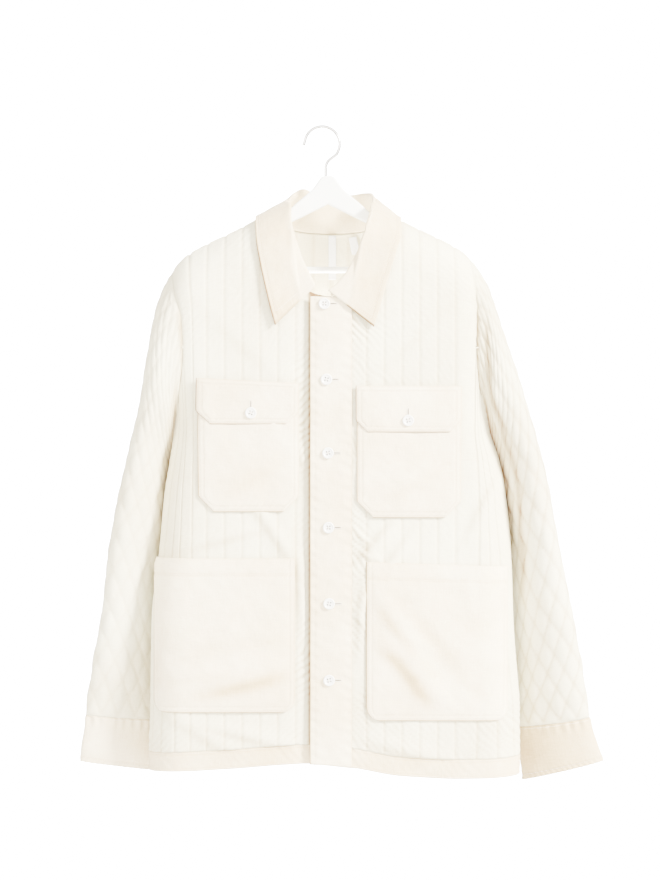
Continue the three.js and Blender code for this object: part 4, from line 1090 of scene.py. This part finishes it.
# The patch pockets and flaps: plain cotton with turned-in edges, sewn to the fronts by two rows of
# stitching. Chest pockets have cut lower corners under a buttoned flap, hand pockets rounded ones.
PATCH_LIFT = 0.003
PATCH_WALL = 0.0018
PATCH_CELL = 0.0034
FLAP_LIFT = PATCH_LIFT + PATCH_WALL + 0.0008
EDGE_STEPS = [0, 0.0008, 0.0016, 0.0024, 0.0034, 0.0046, 0.0058, 0.007, 0.0082, 0.0096, 0.012]
NEAR_ROW = 2  # of EDGE_STEPS: the row of stitching along the edge, and the one inside it
INNER_ROW = 7
POCKET_HEM = 0.0225
FLAP_RIM_SHADE = 2.1
POCKET_RIM_SHADE = 1.2
POCKET_FOLD_SHADE = 0.6
PATCHES = {  # side, left, right, top, bottom, fall of the top, corner, rounded, lift
    "chest_pocket_left": ("left", -0.167, -0.031, -0.36, -0.524, 0, 0.021, False, PATCH_LIFT),
    "chest_pocket_right": ("right", 0.047, 0.1875, -0.366, -0.532, 0, 0.022, False, PATCH_LIFT),
    "flap_left": ("left", -0.169, -0.031, -0.3436, -0.406, 0.007, 0.018, False, FLAP_LIFT),
    "flap_right": ("right", 0.0455, 0.188, -0.3544, -0.417, 0, 0.016, False, FLAP_LIFT),
    "hand_pocket_left": ("left", -0.225, -0.0365, -0.587, -0.795, 0, 0.019, True, PATCH_LIFT),
    "hand_pocket_right": ("right", 0.06, 0.249, -0.592, -0.806, 0.006, 0.019, True, PATCH_LIFT),
}
POCKET_FOLDS = {  # lower end x, z, upper end x, z, width, height
    "hand_pocket_left": [
        (-0.185, -0.766, -0.04, -0.728, 0.019, 0.0056),
        (-0.19, -0.7, -0.08, -0.672, 0.024, 0.0012),
        (-0.21, -0.745, -0.12, -0.735, 0.012, 0.001),
        (-0.11, -0.7, -0.045, -0.685, 0.01, 0.0011),
    ],
    "hand_pocket_right": [
        (0.14, -0.715, 0.066, -0.628, 0.014, 0.004),
        (0.112, -0.725, 0.068, -0.69, 0.013, 0.003),
        (0.165, -0.788, 0.105, -0.705, 0.019, 0.006),
        (0.215, -0.745, 0.118, -0.63, 0.022, 0.0024),
    ],
    "chest_pocket_left": [(-0.15, -0.50, -0.06, -0.44, 0.02, 0.0012)],
    "chest_pocket_right": [(0.07, -0.50, 0.16, -0.45, 0.02, 0.0012)],
}


def edge_spaced(length, coarse):
    """Distances from one edge to the other, closely spaced near both for the stitching."""
    inner = length - 2 * EDGE_STEPS[-1]
    count = max(round(inner / coarse), 2)
    middle = [EDGE_STEPS[-1] + inner * k / count for k in range(1, count)]
    return EDGE_STEPS + middle + [length - step for step in reversed(EDGE_STEPS)]


def groove(distance, at, width=0.0009):
    return bell(distance - at, width)


def patch(name, seed):
    side, left, right, top, bottom, fall, corner, rounded, lift = PATCHES[name]
    hand = name.startswith("hand")
    flap = name.startswith("flap")
    width = right - left
    tall = top - bottom
    across = edge_spaced(width, PATCH_CELL)
    up = edge_spaced(tall, PATCH_CELL)

    def place(i, j):
        p = across[i] / width
        low = max(corner - up[j], 0)
        cut = corner - math.sqrt(corner * corner - low * low) if rounded else low
        z = bottom + up[j] - fall * p * up[j] / tall
        start, end = round_of(side, left, z), round_of(side, right, z)
        inward = math.copysign(cut, end - start)
        return beside_seam(side, FRONT, mix(start + inward, end - inward, p), z)

    uv = lambda i, j: (across[i], up[j])
    bm, keys, painted_shade = cloth_grid(len(across) - 1, len(up) - 1, place, uv)
    face_outwards(bm, INSIDE_BODY)
    for vert in bm.verts:
        i, j = keys[vert]
        d_side = min(across[i], width - across[i])
        d_low = up[j]
        d_top = tall - up[j]
        d = min(d_side, d_low, d_top) if flap else min(d_side, d_low)
        rim = -0.0005 * (1 - ease(min(d, d_top) / 0.0014))
        lines = groove(d, EDGE_STEPS[NEAR_ROW]) + groove(d, EDGE_STEPS[INNER_ROW])
        if hand:
            lines += groove(d_top, POCKET_HEM) + 0.4 * groove(d_top, EDGE_STEPS[NEAR_ROW])
        x, z = vert.co.x, vert.co.z
        inside = min(1, 6 * d_side / width, 6 * d_low / tall, 6 * d_top / tall)
        fold = fold_height(POCKET_FOLDS.get(name, []), x, z) * max(inside, 0)
        swell = 0.0016 * wobble(x * 20, z * 20, seed) * inside
        swell += 0.0007 * wobble(x * 60, z * 75, seed + 2) * min(1, 2 * inside)
        pucker = 0.0004 * math.sin(2 * math.pi * (x - z) / 0.0095) * groove(d, 0.009, 0.007)
        belly = 0.0012 * ease(inside * 2)
        vert.co += vert.normal * (lift + PATCH_WALL + rim + fold + swell + pucker + belly - 0.0007 * lines)
        # Painted shadow: dark along the left and lower edges, strongest on the flaps, a thin dark line
        # round every edge, darker stitch grooves and the shaded side of the folds.
        edge_shadow = (1 - ease(across[i] / 0.0022)) + 0.8 * (1 - ease(d_low / 0.0018))
        edge_shadow *= FLAP_RIM_SHADE if flap else POCKET_RIM_SHADE
        edge_shadow += 0.5 * (1 - ease(min(d, d_top) / 0.0008))
        fold_shadow = fold_shade(POCKET_FOLDS.get(name, []), x, z) * max(inside, 0)
        vert[painted_shade] = 0.35 * min(lines, 1) + edge_shadow + POCKET_FOLD_SHADE * fold_shadow
    points = spots(bm, keys)
    piece = finish_cloth(name, bm, plain_cotton, PATCH_WALL, [name])
    paths = []
    last_i, last_j = len(across) - 1, len(up) - 1
    for k in (NEAR_ROW, INNER_ROW):
        down = [points[k, j] for j in range(last_j - (k if flap else 0), k, -1)]
        over = [points[i, k] for i in range(k, last_i - k)]
        rise = [points[last_i - k, j] for j in range(k, last_j + 1 - (k if flap else 0))]
        paths.append(down + over + rise)
        if flap:
            paths.append([points[i, last_j - k] for i in range(k, last_i - k + 1)])
    if hand:
        row = min(range(len(up)), key=lambda j: abs(tall - up[j] - POCKET_HEM))
        paths.append([points[i, row] for i in range(INNER_ROW, last_i - INNER_ROW + 1)])
    stitches(name + "_stitches", paths)
    return piece


patches = {name: patch(name, 41.0 + k) for k, name in enumerate(PATCHES)}

# The button band on the over front: a folded strip of plain cotton from the collar to the hem, stitched
# down along both sides, that lifts a little between the buttons.
PLACKET_LEFT = -0.0165
PLACKET_RIGHT = 0.0405
PLACKET_TOP = -0.234
PLACKET_STEP = 0.0032
PLACKET_CELL = 0.003
PLACKET_TONE = 0.08
BUTTON_PLACES = [
    ("button_1", 0.0032, -0.2434),
    ("button_2", 0.0059, -0.3455),
    ("button_3", 0.0081, -0.4448),
    ("button_4", 0.0088, -0.5454),
    ("button_5", 0.0095, -0.6481),
    ("button_6", 0.0095, -0.7513),
]
band_across = edge_spaced(PLACKET_RIGHT - PLACKET_LEFT, PLACKET_CELL)
band_rows = round((PLACKET_TOP - HEM_LEVEL) / PLACKET_STEP)


def band_place(i, j):
    x = PLACKET_LEFT + band_across[i]
    return Vector((x, -DEPTH, mix(hem_line[FRONT](x), PLACKET_TOP, j / band_rows)))


bm, keys, painted_shade = cloth_grid(
    len(band_across) - 1, band_rows, band_place, lambda i, j: (band_across[i], band_place(0, j).z)
)
face_outwards(bm, INSIDE_BODY)
for vert in bm.verts:
    i, j = keys[vert]
    x, z = vert.co.x, vert.co.z
    from_left = band_across[i]
    from_right = PLACKET_RIGHT - PLACKET_LEFT - from_left
    lines = groove(from_left, EDGE_STEPS[INNER_ROW]) + groove(from_right, EDGE_STEPS[NEAR_ROW])
    lines += 0.5 * groove(from_left, EDGE_STEPS[NEAR_ROW])
    nearest = min(abs(z - place) for _, _, place in BUTTON_PLACES)
    lift = 0.0012 * ease(nearest / 0.045) * ease(min(from_left, from_right) / 0.012)
    warp = 4 * wobble(z * 14, 0, 3.0)
    drag = 0.0007 * math.sin(2 * math.pi * (z + 0.35 * x) / 0.015 + warp)
    drag *= groove(from_right, 0.004, 0.009) + groove(from_left, 0.006, 0.007)
    swell = 0.001 * wobble(x * 30, z * 16, 51.0)
    swell += 0.0006 * wobble(x * 70, z * 90, 52.0)
    rim = -0.0005 * (1 - ease(min(from_left, from_right) / 0.0013))
    vert.co += vert.normal * (PATCH_LIFT + PATCH_WALL + lift + drag + swell + rim - 0.0004 * lines)
    # Painted shadow: dark along the left edge, a thin dark line on the right edge, and darker stitch
    # grooves.
    edge_shadow = 2.0 * (1 - ease(from_left / 0.0018)) + 0.9 * (1 - ease(from_right / 0.0008))
    vert[painted_shade] = 0.3 * min(lines, 1) + edge_shadow + PLACKET_TONE
points = spots(bm, keys)
placket = finish_cloth("placket", bm, plain_cotton, PATCH_WALL, ["placket"])
sewn_columns = (INNER_ROW, len(band_across) - 1 - NEAR_ROW)
stitches("placket_stitches", [[points[i, j] for j in range(band_rows + 1)] for i in sewn_columns])

# The buttonholes: a slit beside each button, drawn as a dark lens of painted shadow, its edges overcast
# with thread.
# They lie across on the band and stand upright above the buttons of the flaps.
HOLE_LENGTH = 0.0165
HOLE_HALF = 0.0013
BUTTON_ASIDE = 0.0085
HOLE_THREADS = 22


def clouded(name, dark, light, scale, detail, roughness=0.5):
    """A material whose tone drifts between two colours, with its tree, shader, place and clouds."""
    material, tree, shader = new_material(name)
    place = tree.nodes.new("ShaderNodeTexCoord").outputs["Object"]
    clouds = noise_node(tree, place, scale, detail, roughness)
    ramp = tree.nodes.new("ShaderNodeValToRGB")
    ramp.color_ramp.elements[0].color = (*dark, 1)
    ramp.color_ramp.elements[1].color = (*light, 1)
    tree.links.new(clouds, ramp.inputs[0])
    tree.links.new(ramp.outputs[0], shader.inputs["Base Color"])
    return material, tree, shader, place, clouds


slit_dark, _, shader, _, _ = clouded("buttonhole_shadow", (0.03, 0.02, 0.012), (0.08, 0.055, 0.035), 900, 2)
set_inputs(shader, {"Roughness": 0.95})


def buttonhole(name, centre, way):
    """A slit at centre that runs along way, a dark lens of painted shadow, with overcast edges."""
    across = way.cross(Vector((0, -1, 0)))
    bm = bmesh.new()
    slit = Matrix((way, across, Vector((0, -1, 0)))).transposed().to_4x4()
    slit.translation = centre
    shape = Matrix.Diagonal((HOLE_LENGTH / 2, 0.0008, 0.0004, 1))
    bmesh.ops.create_uvsphere(bm, u_segments=24, v_segments=8, radius=1, matrix=slit @ shape)
    finish_cloth(name + "_slit", bm, slit_dark, 0, [])
    bm = bmesh.new()
    for k in range(HOLE_THREADS):
        along_slit = (k / (HOLE_THREADS - 1) - 0.5) * (HOLE_LENGTH + 0.0008)
        for edge in (-1, 1):
            beside = (along_slit, edge * (HOLE_HALF / 2 + 0.0006), 0.0001)
            add_bar(bm, slit, beside, (0.0006, HOLE_HALF, 0.0005))
    for end in (-1, 1):
        add_bar(bm, slit, (end * (HOLE_LENGTH / 2 + 0.0007), 0, 0.0001), (0.0007, 0.0036, 0.0006))
    finish_stitches(name + "_overcast", bm)


BAND_FACE = -DEPTH - PATCH_LIFT - PATCH_WALL
FLAP_FACE = -DEPTH - FLAP_LIFT - PATCH_WALL
FLAP_BUTTONS = [("flap_button_left", -0.0959, -0.3908), ("flap_button_right", 0.1161, -0.401)]
for name, x, z in BUTTON_PLACES:
    centre = Vector((x + BUTTON_ASIDE, BAND_FACE - 0.0005, z))
    buttonhole(name.replace("button", "buttonhole"), centre, Vector((1, 0, 0)))
for name, x, z in FLAP_BUTTONS:
    centre = Vector((x, FLAP_FACE - 0.0014, z + BUTTON_ASIDE))
    buttonhole(name.replace("button", "buttonhole"), centre, Vector((0, 0, 1)))

# The buttons: white resin turned with a raised rim and a dished middle, four holes, sewn on crosswise.
DISH_RADIUS = 0.0046
DISH_HEIGHT = 0.0021
HOLE_OFFSET = 0.0018
HOLE_RADIUS = 0.0011
BUTTON_GAP = 0.0003
BUTTON_PROFILE = [  # radius, height
    (0.0, 0.0002),
    (0.0066, 0.0),
    (0.0074, 0.0006),
    (0.0078, 0.0014),
    (0.0076, 0.0023),
    (0.0070, 0.0029),
    (0.0063, 0.003),
    (0.0057, 0.0027),
    (0.0052, 0.0022),
    (DISH_RADIUS, DISH_HEIGHT),
]
BUTTON_SPOKES = 96
DISH_RINGS = 18

resin, tree, shader, _, clouds = clouded("button_resin", (0.82, 0.84, 0.86), (0.9, 0.92, 0.95), 260, 4)
set_inputs(shader, {"Coat Weight": 0.25, "Coat Roughness": 0.2})
tree.links.new(math_node(tree, "MULTIPLY", clouds, 0.5), shader.inputs["Roughness"])


def button(name, x, face, z, tilt):
    bm = bmesh.new()
    rings = list(BUTTON_PROFILE)
    for k in range(1, DISH_RINGS + 1):
        rings.append((DISH_RADIUS * (1 - k / DISH_RINGS), DISH_HEIGHT))
    first = bm.verts.new((rings[0][0], 0, rings[0][1]))
    edges = []
    for radius, height in rings[1:]:
        vert = bm.verts.new((radius, 0, height))
        edges.append(bm.edges.new((first, vert)))
        first = vert
    bmesh.ops.spin(
        bm, geom=list(bm.verts) + edges, cent=(0, 0, 0), axis=(0, 0, 1), angle=2 * math.pi,
        steps=BUTTON_SPOKES, use_merge=True,
    )
    bmesh.ops.remove_doubles(bm, verts=bm.verts, dist=1e-6)
    bmesh.ops.recalc_face_normals(bm, faces=bm.faces)
    for vert in bm.verts:
        if vert.co.z < 0.0019:
            continue
        for sx in (-1, 1):
            for sy in (-1, 1):
                away = math.hypot(vert.co.x - sx * HOLE_OFFSET, vert.co.y - sy * HOLE_OFFSET)
                if away < HOLE_RADIUS * 1.15:
                    vert.co.z -= 0.0014 * ease((HOLE_RADIUS * 1.15 - away) / (HOLE_RADIUS * 0.4))
    turn = Matrix.Rotation(tilt, 4, "Y") @ Matrix.Rotation(math.radians(90), 4, "X")
    turn.translation = (x, face - BUTTON_GAP, z)
    bmesh.ops.transform(bm, matrix=turn, verts=bm.verts)
    # Painted shadow: the bottoms of the four holes take the dark buttonhole material.
    for bottom in bm.faces:
        spot = turn.inverted() @ bottom.calc_center_median()
        from_hole = math.hypot(abs(spot.x) - HOLE_OFFSET, abs(spot.y) - HOLE_OFFSET)
        bottom.material_index = 1 if spot.z > 0.0003 and from_hole < HOLE_RADIUS * 0.9 else 0
    piece = finish_cloth(name, bm, resin, 0, [name])
    piece.data.materials.append(slit_dark)
    bm = bmesh.new()
    for cross in (45, 135):
        for shift in (-0.00022, 0.00022):
            crossed = turn @ Matrix.Rotation(math.radians(cross), 4, "Z")
            add_bar(bm, crossed, (0, shift, 0.00225), (1.9 * HOLE_OFFSET, 0.0003, 0.0004))
    finish_stitches(name + "_thread", bm)
    return piece


for k, (name, x, z) in enumerate(BUTTON_PLACES):
    button(name, x, BAND_FACE - 0.0004, z, 0.25 * math.sin(2.1 * k))
for k, (name, x, z) in enumerate(FLAP_BUTTONS):
    button(name, x, FLAP_FACE - 0.0006, z, 0.3 - 0.5 * k)

# The collar: a shirt collar in one folded piece of plain cotton, up the stand, over the fold and down the
# leaf, with pointed leaves that lie open. A row of stitching runs 7 mm inside its free edges.
COLLAR_WALL = 0.0025
COLLAR_SEAM = 0.0008
COLLAR_RISE = 0.005
LEAF_CLEAR = 0.0066
FOLD_DROP = 0.0035
FOLD_HALF = 0.0024
SHOULDER_STATION = 7
COLLAR_ENDS = {"left": 11.5, "right": 14}
COLLAR_STATIONS_EACH = 5
SECTION_STEPS = 72
LEAF_FROM = 0.45  # of the way along a section
STATION_APART = 0.0045
COLLAR_STITCH = 0.007
STAND_SHADE = 0.15
LEAF_SHADE = 0.27
COLLAR_RIM_SHADE = 2.3
COLLAR_RIM = 0.0032
COLLAR = {  # station, fold x, y, z, edge x, y, z
    "left": [
        (0, 0.012, 0.042, -0.089, 0.012, 0.058, -0.15),
        (2, -0.01, 0.04, -0.087, -0.022, 0.057, -0.15),
        (4, -0.025, 0.031, -0.081, -0.06, 0.052, -0.146),
        (5.5, -0.035, 0.016, -0.087, -0.08, 0.038, -0.136),
        (7, -0.043, -0.004, -0.1, -0.091, -0.002, -0.1215),
        (8, -0.0425, -0.02, -0.129, -0.089, -0.04, -0.158),
        (9, -0.035, -0.034, -0.158, -0.084, -0.05, -0.188),
        (10, -0.026, -0.043, -0.184, -0.078, -0.052, -0.217),
        (11, -0.015, -0.049, -0.207, -0.07, -0.052, -0.25),
        (11.5, -0.009, -0.052, -0.22, -0.0635, -0.052, -0.273),
    ],
    "right": [
        (0, 0.012, 0.042, -0.089, 0.012, 0.058, -0.15),
        (2, 0.036, 0.041, -0.089, 0.046, 0.057, -0.15),
        (4, 0.056, 0.031, -0.087, 0.082, 0.052, -0.146),
        (5.5, 0.066, 0.016, -0.088, 0.098, 0.038, -0.138),
        (7, 0.069, -0.004, -0.098, 0.108, -0.002, -0.1225),
        (8, 0.062, -0.02, -0.127, 0.107, -0.04, -0.15),
        (9, 0.055, -0.034, -0.154, 0.101, -0.05, -0.17),
        (10, 0.045, -0.043, -0.178, 0.095, -0.052, -0.191),
        (11, 0.035, -0.049, -0.197, 0.088, -0.052, -0.213),
        (12, 0.026, -0.051, -0.21, 0.082, -0.052, -0.235),
        (13, 0.017, -0.052, -0.219, 0.076, -0.052, -0.256),
        (14, 0.008, -0.053, -0.226, 0.07, -0.052, -0.275),
    ],
}
collar_curves = {side: [along(rows, k) for k in range(1, 7)] for side, rows in COLLAR.items()}


def neck_edge(side, n):
    """The cloth's edge at a station round the neck, and its outward direction."""
    face = BACK if n < SHOULDER_STATION else FRONT
    u = n if n < SHOULDER_STATION else 2 * SHOULDER_STATION - n
    rows = LOWER_ROWS + UPPER_ROWS
    step = 0.01
    point = body_point(side, face, u, rows)
    below = body_point(side, face, u, rows - step)
    beside = body_point(side, face, u + step, rows)
    normal = (beside - point).cross(below - point).normalized()
    if normal.dot(point - Vector((CENTRE, 0, NECK_SIDE_Z - 0.05))) < 0:
        normal.negate()
    if side == "left" and face == FRONT:
        point.y += under_lap("front_left", point.x)
    return point, normal


def clear_of_body(point, face):
    top = top_line(point.x)
    if face == 0 or point.z > top + 0.003:
        return point
    t = min((top + LEAF_CLEAR - point.z) / (SHOULDER_ROUND + LEAF_CLEAR), 1)
    depth = (DEPTH + LEAF_CLEAR) * math.sqrt(1 - (1 - t) ** 2)
    return Vector((point.x, face * max(abs(point.y), depth), point.z))


def collar_section(side, n, edge, towards_neck):
    """The middle of the collar's wall from the neck seam to the leaf's edge."""
    point, normal = edge
    fold_x, fold_y, fold_z, edge_x, edge_y, edge_z = [curve(n) for curve in collar_curves[side]]
    face = 0 if n == SHOULDER_STATION else (BACK if n < SHOULDER_STATION else FRONT)
    root = point - normal * QUILT_WALL / 2
    fold = Vector((fold_x, fold_y, fold_z))
    tip = clear_of_body(Vector((edge_x, edge_y, edge_z)), face)
    start = root + towards_neck * COLLAR_RISE
    stand_way = (start - fold).normalized()
    leaf_way = (tip - fold).normalized()
    apart = (leaf_way - stand_way).normalized()
    down = (leaf_way + stand_way).normalized()
    fold_in = fold + down * FOLD_DROP - apart * FOLD_HALF
    fold_out = fold + down * FOLD_DROP + apart * FOLD_HALF
    seam = root + towards_neck * COLLAR_SEAM
    leaf = [fold_out.lerp(tip, t) for t in (0.25, 0.5, 0.75, 1)]
    return [seam, start, start.lerp(fold_in, 0.5), fold_in, fold, fold_out] + leaf, face


def rounded_path(points, count):
    """Points evenly spaced along a smooth curve through the given ones."""
    fine = []
    for k in range(len(points) - 1):
        a = points[max(k - 1, 0)]
        b, c = points[k], points[k + 1]
        d = points[min(k + 2, len(points) - 1)]
        for m in range(12):
            t = m / 12
            bend = (2 * a - 5 * b + 4 * c - d) * t**2 + (3 * b - a - 3 * c + d) * t**3
            fine.append(0.5 * (2 * b + (c - a) * t + bend))
    fine.append(points[-1].copy())
    return spaced(fine, count)


left_count, right_count = [round(COLLAR_ENDS[side] * COLLAR_STATIONS_EACH) for side in ("left", "right")]
stations = [("left", k / COLLAR_STATIONS_EACH) for k in range(left_count, 0, -1)]
stations += [("right", k / COLLAR_STATIONS_EACH) for k in range(right_count + 1)]
neck_edges = [neck_edge(side, n) for side, n in stations]
neck_middle = Vector((CENTRE, 0, NECK_SIDE_Z + 0.02))
sections = []
for k, (side, n) in enumerate(stations):
    before = neck_edges[max(k - 3, 0)][0]
    after = neck_edges[min(k + 3, len(stations) - 1)][0]
    towards = (after - before).cross(neck_edges[k][1]).normalized()
    if towards.dot(neck_middle - neck_edges[k][0]) < 0:
        towards.negate()
    points, face = collar_section(side, n, neck_edges[k], towards)
    path, length = rounded_path(points, SECTION_STEPS)
    leaf_from = round(SECTION_STEPS * LEAF_FROM)
    path = [clear_of_body(p, face) if m > leaf_from else p for m, p in enumerate(path)]
    sections.append((path, length))

bm, keys, painted_shade = cloth_grid(
    len(stations) - 1, SECTION_STEPS,
    lambda i, j: sections[i][0][j].copy(),
    lambda i, j: (i * STATION_APART, sections[i][1] * j / SECTION_STEPS),
)
for _ in range(2):
    bmesh.ops.smooth_vert(
        bm, verts=[v for v in bm.verts if not v.is_boundary], factor=0.5,
        use_axis_x=True, use_axis_y=True, use_axis_z=True,
    )
bm.normal_update()
right_leaf = [v for v in bm.verts if keys[v][0] > len(stations) * 0.8 and keys[v][1] > SECTION_STEPS * 0.7]
if sum(v.normal.y for v in right_leaf) > 0:
    bmesh.ops.reverse_faces(bm, faces=bm.faces)
    bm.normal_update()
for vert in bm.verts:
    i, j = keys[vert]
    from_edge = sections[i][1] * (1 - j / SECTION_STEPS)
    left_end = (vert.co - sections[0][0][j]).length
    right_end = (vert.co - sections[-1][0][j]).length
    d = min(from_edge, left_end, right_end)
    leaf = ease((j / SECTION_STEPS - LEAF_FROM) / 0.1)
    line = groove(d, COLLAR_STITCH, 0.0012) * leaf
    x, z = vert.co.x, vert.co.z
    swell = 0.0018 * wobble(x * 24, vert.co.y * 20, z * 24 + 5)
    swell += 0.0006 * wobble(x * 80, vert.co.y * 60, z * 80 + 9)
    pucker = 0.00025 * math.sin(2 * math.pi * (x + z) / 0.008) * groove(d, 0.0045, 0.004) * leaf
    rim = -0.0004 * (1 - ease(d / 0.0014))
    # Painted shadow: dark along the left leaf's free edge and at the right end, a thinner line at the left
    # end, a darker stitch groove, and a deeper tone on the stand and more on the leaf.
    left_edge = (1 - ease(from_edge / COLLAR_RIM)) * (1 - ease((i - 14) / 10))
    edge_shadow = COLLAR_RIM_SHADE * max(left_edge, 1 - ease(right_end / COLLAR_RIM))
    edge_shadow += 0.6 * (1 - ease(left_end / 0.0014))
    vert.co += vert.normal * (COLLAR_WALL / 2 + swell * leaf + pucker + rim - 0.0004 * line)
    vert[painted_shade] = 0.4 * line + STAND_SHADE + (LEAF_SHADE + edge_shadow) * leaf
points = spots(bm, keys)
collar = finish_cloth("collar", bm, plain_cotton, COLLAR_WALL, ["collar"])

last_station = len(stations) - 1
inset = lambda i: round(SECTION_STEPS * (1 - COLLAR_STITCH / sections[i][1]))
tips = [path[-1] for path, _ in sections]
first_in = next(i for i in range(last_station) if (tips[i] - tips[0]).length > COLLAR_STITCH)
last_in = next(i for i in range(last_station, 0, -1) if (tips[i] - tips[-1]).length > COLLAR_STITCH)
left_down = [points[first_in, j] for j in range(round(SECTION_STEPS * 0.5), inset(first_in))]
round_edge = [points[i, inset(i)] for i in range(first_in, last_in + 1)]
right_up = [points[last_in, j] for j in range(inset(last_in), round(SECTION_STEPS * 0.5), -1)]
stitches("collar_stitches", [left_down + round_edge + right_up])

# Sewn in at the back of the neck: a blank white hanging tape, and a small bare care label beside it.
# Both are woven tape, folded at the lower end; each is drawn as one flat strip.
INSIDE_BACK = DEPTH - QUILT_WALL
TAPE_COLUMNS = 8
TAPE_ROWS = 40
white_tape = cotton(
    "white_tape", (0.86, 0.88, 0.93, 1), (0.74, 0.76, 0.82, 1), 30.0, 2600.0, 0.3, 0.0002, 0.2
)


def tape_label(name, x, top, wide, tall, wall, gap, lean):
    def place(i, j):
        p, q = i / TAPE_COLUMNS - 0.5, j / TAPE_ROWS
        curl = 0.0006 * math.sin(3 * q) + 0.0003 * math.sin(9 * p + 5 * q)
        return Vector((p * wide, -curl * 0.5, (0.5 - q) * tall))

    bm, keys, painted_shade = cloth_grid(
        TAPE_COLUMNS, TAPE_ROWS, place, lambda i, j: (i / TAPE_COLUMNS * wide, j / TAPE_ROWS * tall)
    )
    turn = Matrix.Rotation(lean, 4, "Y")
    turn.translation = (x, INSIDE_BACK - gap - wall, top - tall / 2)
    bmesh.ops.transform(bm, matrix=turn, verts=bm.verts)
    face_outwards(bm, Vector((x, 1, top)))
    for vert in bm.verts:
        q = keys[vert][1] / TAPE_ROWS
        # Painted shade: darker near the top and near the fold at the lower end.
        vert[painted_shade] = 0.5 * groove(q, 0.03, 0.02) + 0.3 * groove(q, 0.97, 0.02)
    finish_cloth(name, bm, white_tape, wall, [name])


tape_label("hang_tape", 0.014, -0.144, 0.0105, 0.061, 0.0007, 0.0005, 0)
tape_label("care_label", 0.0445, -0.146, 0.011, 0.024, 0.0006, 0.0016, -0.2)

# The hanger: flat arms and a round bar, both moulded in white, and a hook of chromed wire. The arms are
# the solid's own shape with a satin finish; the bar and the hook are made again as round as they are.
BAR_SEATS = (-0.163, 0.177)
BAR_GAP = 0.0004
BAR_Z = -0.1945
BAR_RADIUS = 0.0045
HOOK_RADIUS = 0.024
WIRE_RADIUS = 0.002
WIRE_RINGS = 110
WIRE_SIDES = 20
HOOK_BASE_Z = -0.0657

satin_white, tree, shader, place, clouds = clouded(
    "satin_white", (0.88, 0.92, 0.96), (0.92, 0.95, 0.98), 14, 3
)
set_inputs(shader, {"Specular IOR Level": 0.45})
gloss = math_node(tree, "ADD", math_node(tree, "MULTIPLY", clouds, 0.16), 0.33)
tree.links.new(gloss, shader.inputs["Roughness"])
satin_grain = noise_node(tree, place, 1400, 2)
satin_bump = tree.nodes.new("ShaderNodeBump")
set_inputs(satin_bump, {"Distance": 0.00004})
tree.links.new(satin_grain, satin_bump.inputs["Height"])
tree.links.new(satin_bump.outputs[0], shader.inputs["Normal"])
arms = bpy.data.objects["hanger_arms"]
arms.data.materials.clear()
arms.data.materials.append(satin_white)

bm = bmesh.new()
bar_length = BAR_SEATS[1] - BAR_SEATS[0] - 2 * BAR_GAP
bmesh.ops.create_cone(
    bm, cap_ends=True, segments=48, radius1=BAR_RADIUS, radius2=BAR_RADIUS, depth=bar_length,
    matrix=Matrix.Translation((sum(BAR_SEATS) / 2, 0, BAR_Z)) @ Matrix.Rotation(math.radians(90), 4, "Y"),
)
bar_edges = [e for e in bm.edges if len(e.link_faces) == 2 and e.calc_face_angle(0) > 1]
bmesh.ops.bevel(bm, geom=bar_edges, offset=0.0004, affect="EDGES", segments=2, profile=0.5, material=-1)
finish_cloth("hanger_bar", bm, satin_white, 0, ["hanger_bar"])

chrome, tree, shader, _, clouds = clouded("hook_chrome", (0.5, 0.5, 0.52), (0.72, 0.72, 0.74), 120, 5, 0.6)
set_inputs(shader, {"Metallic": 1.0})
tree.links.new(math_node(tree, "MULTIPLY", clouds, 0.3), shader.inputs["Roughness"])

hook_path = [Vector((0.005, 0, HOOK_BASE_Z)), Vector((0.005, 0, HOOK_BASE_Z + 0.007))]
hook_path += [Vector((0.0053, 0, HOOK_BASE_Z + 0.014)), Vector((0.009, 0, HOOK_BASE_Z + 0.021))]
for k in range(15):
    turn = math.radians(mix(-38, 172, k / 14))
    hook_z = WIRE_RADIUS - HOOK_RADIUS + HOOK_RADIUS * math.sin(turn)
    hook_path.append(Vector((HOOK_RADIUS * math.cos(turn), 0, hook_z)))
hook_path.append(Vector((-0.0255, 0, -0.024)))
hook_line, _ = rounded_path(hook_path, WIRE_RINGS)
bm = bmesh.new()
rings = []
for k, point in enumerate(hook_line):
    way = hook_line[min(k + 1, WIRE_RINGS)] - hook_line[max(k - 1, 0)]
    ring = bmesh.ops.create_circle(
        bm, segments=WIRE_SIDES, radius=WIRE_RADIUS,
        matrix=Matrix.Translation(point) @ way.to_track_quat("Z", "X").to_matrix().to_4x4(),
    )["verts"]
    rings.append(ring)
for before, after in zip(rings, rings[1:]):
    for m in range(WIRE_SIDES):
        n = (m + 1) % WIRE_SIDES
        bm.faces.new((before[m], before[n], after[n], after[m]))
for end in (rings[0], rings[-1]):
    bm.faces.new(end)
bmesh.ops.recalc_face_normals(bm, faces=bm.faces)
end_edges = [e for e in bm.edges if len(e.link_faces) == 2 and e.calc_face_angle(0) > 1]
bmesh.ops.bevel(bm, geom=end_edges, offset=0.0009, affect="EDGES", segments=4, profile=0.5, material=-1)
finish_cloth("hanger_hook", bm, chrome, 0, ["hanger_hook"])
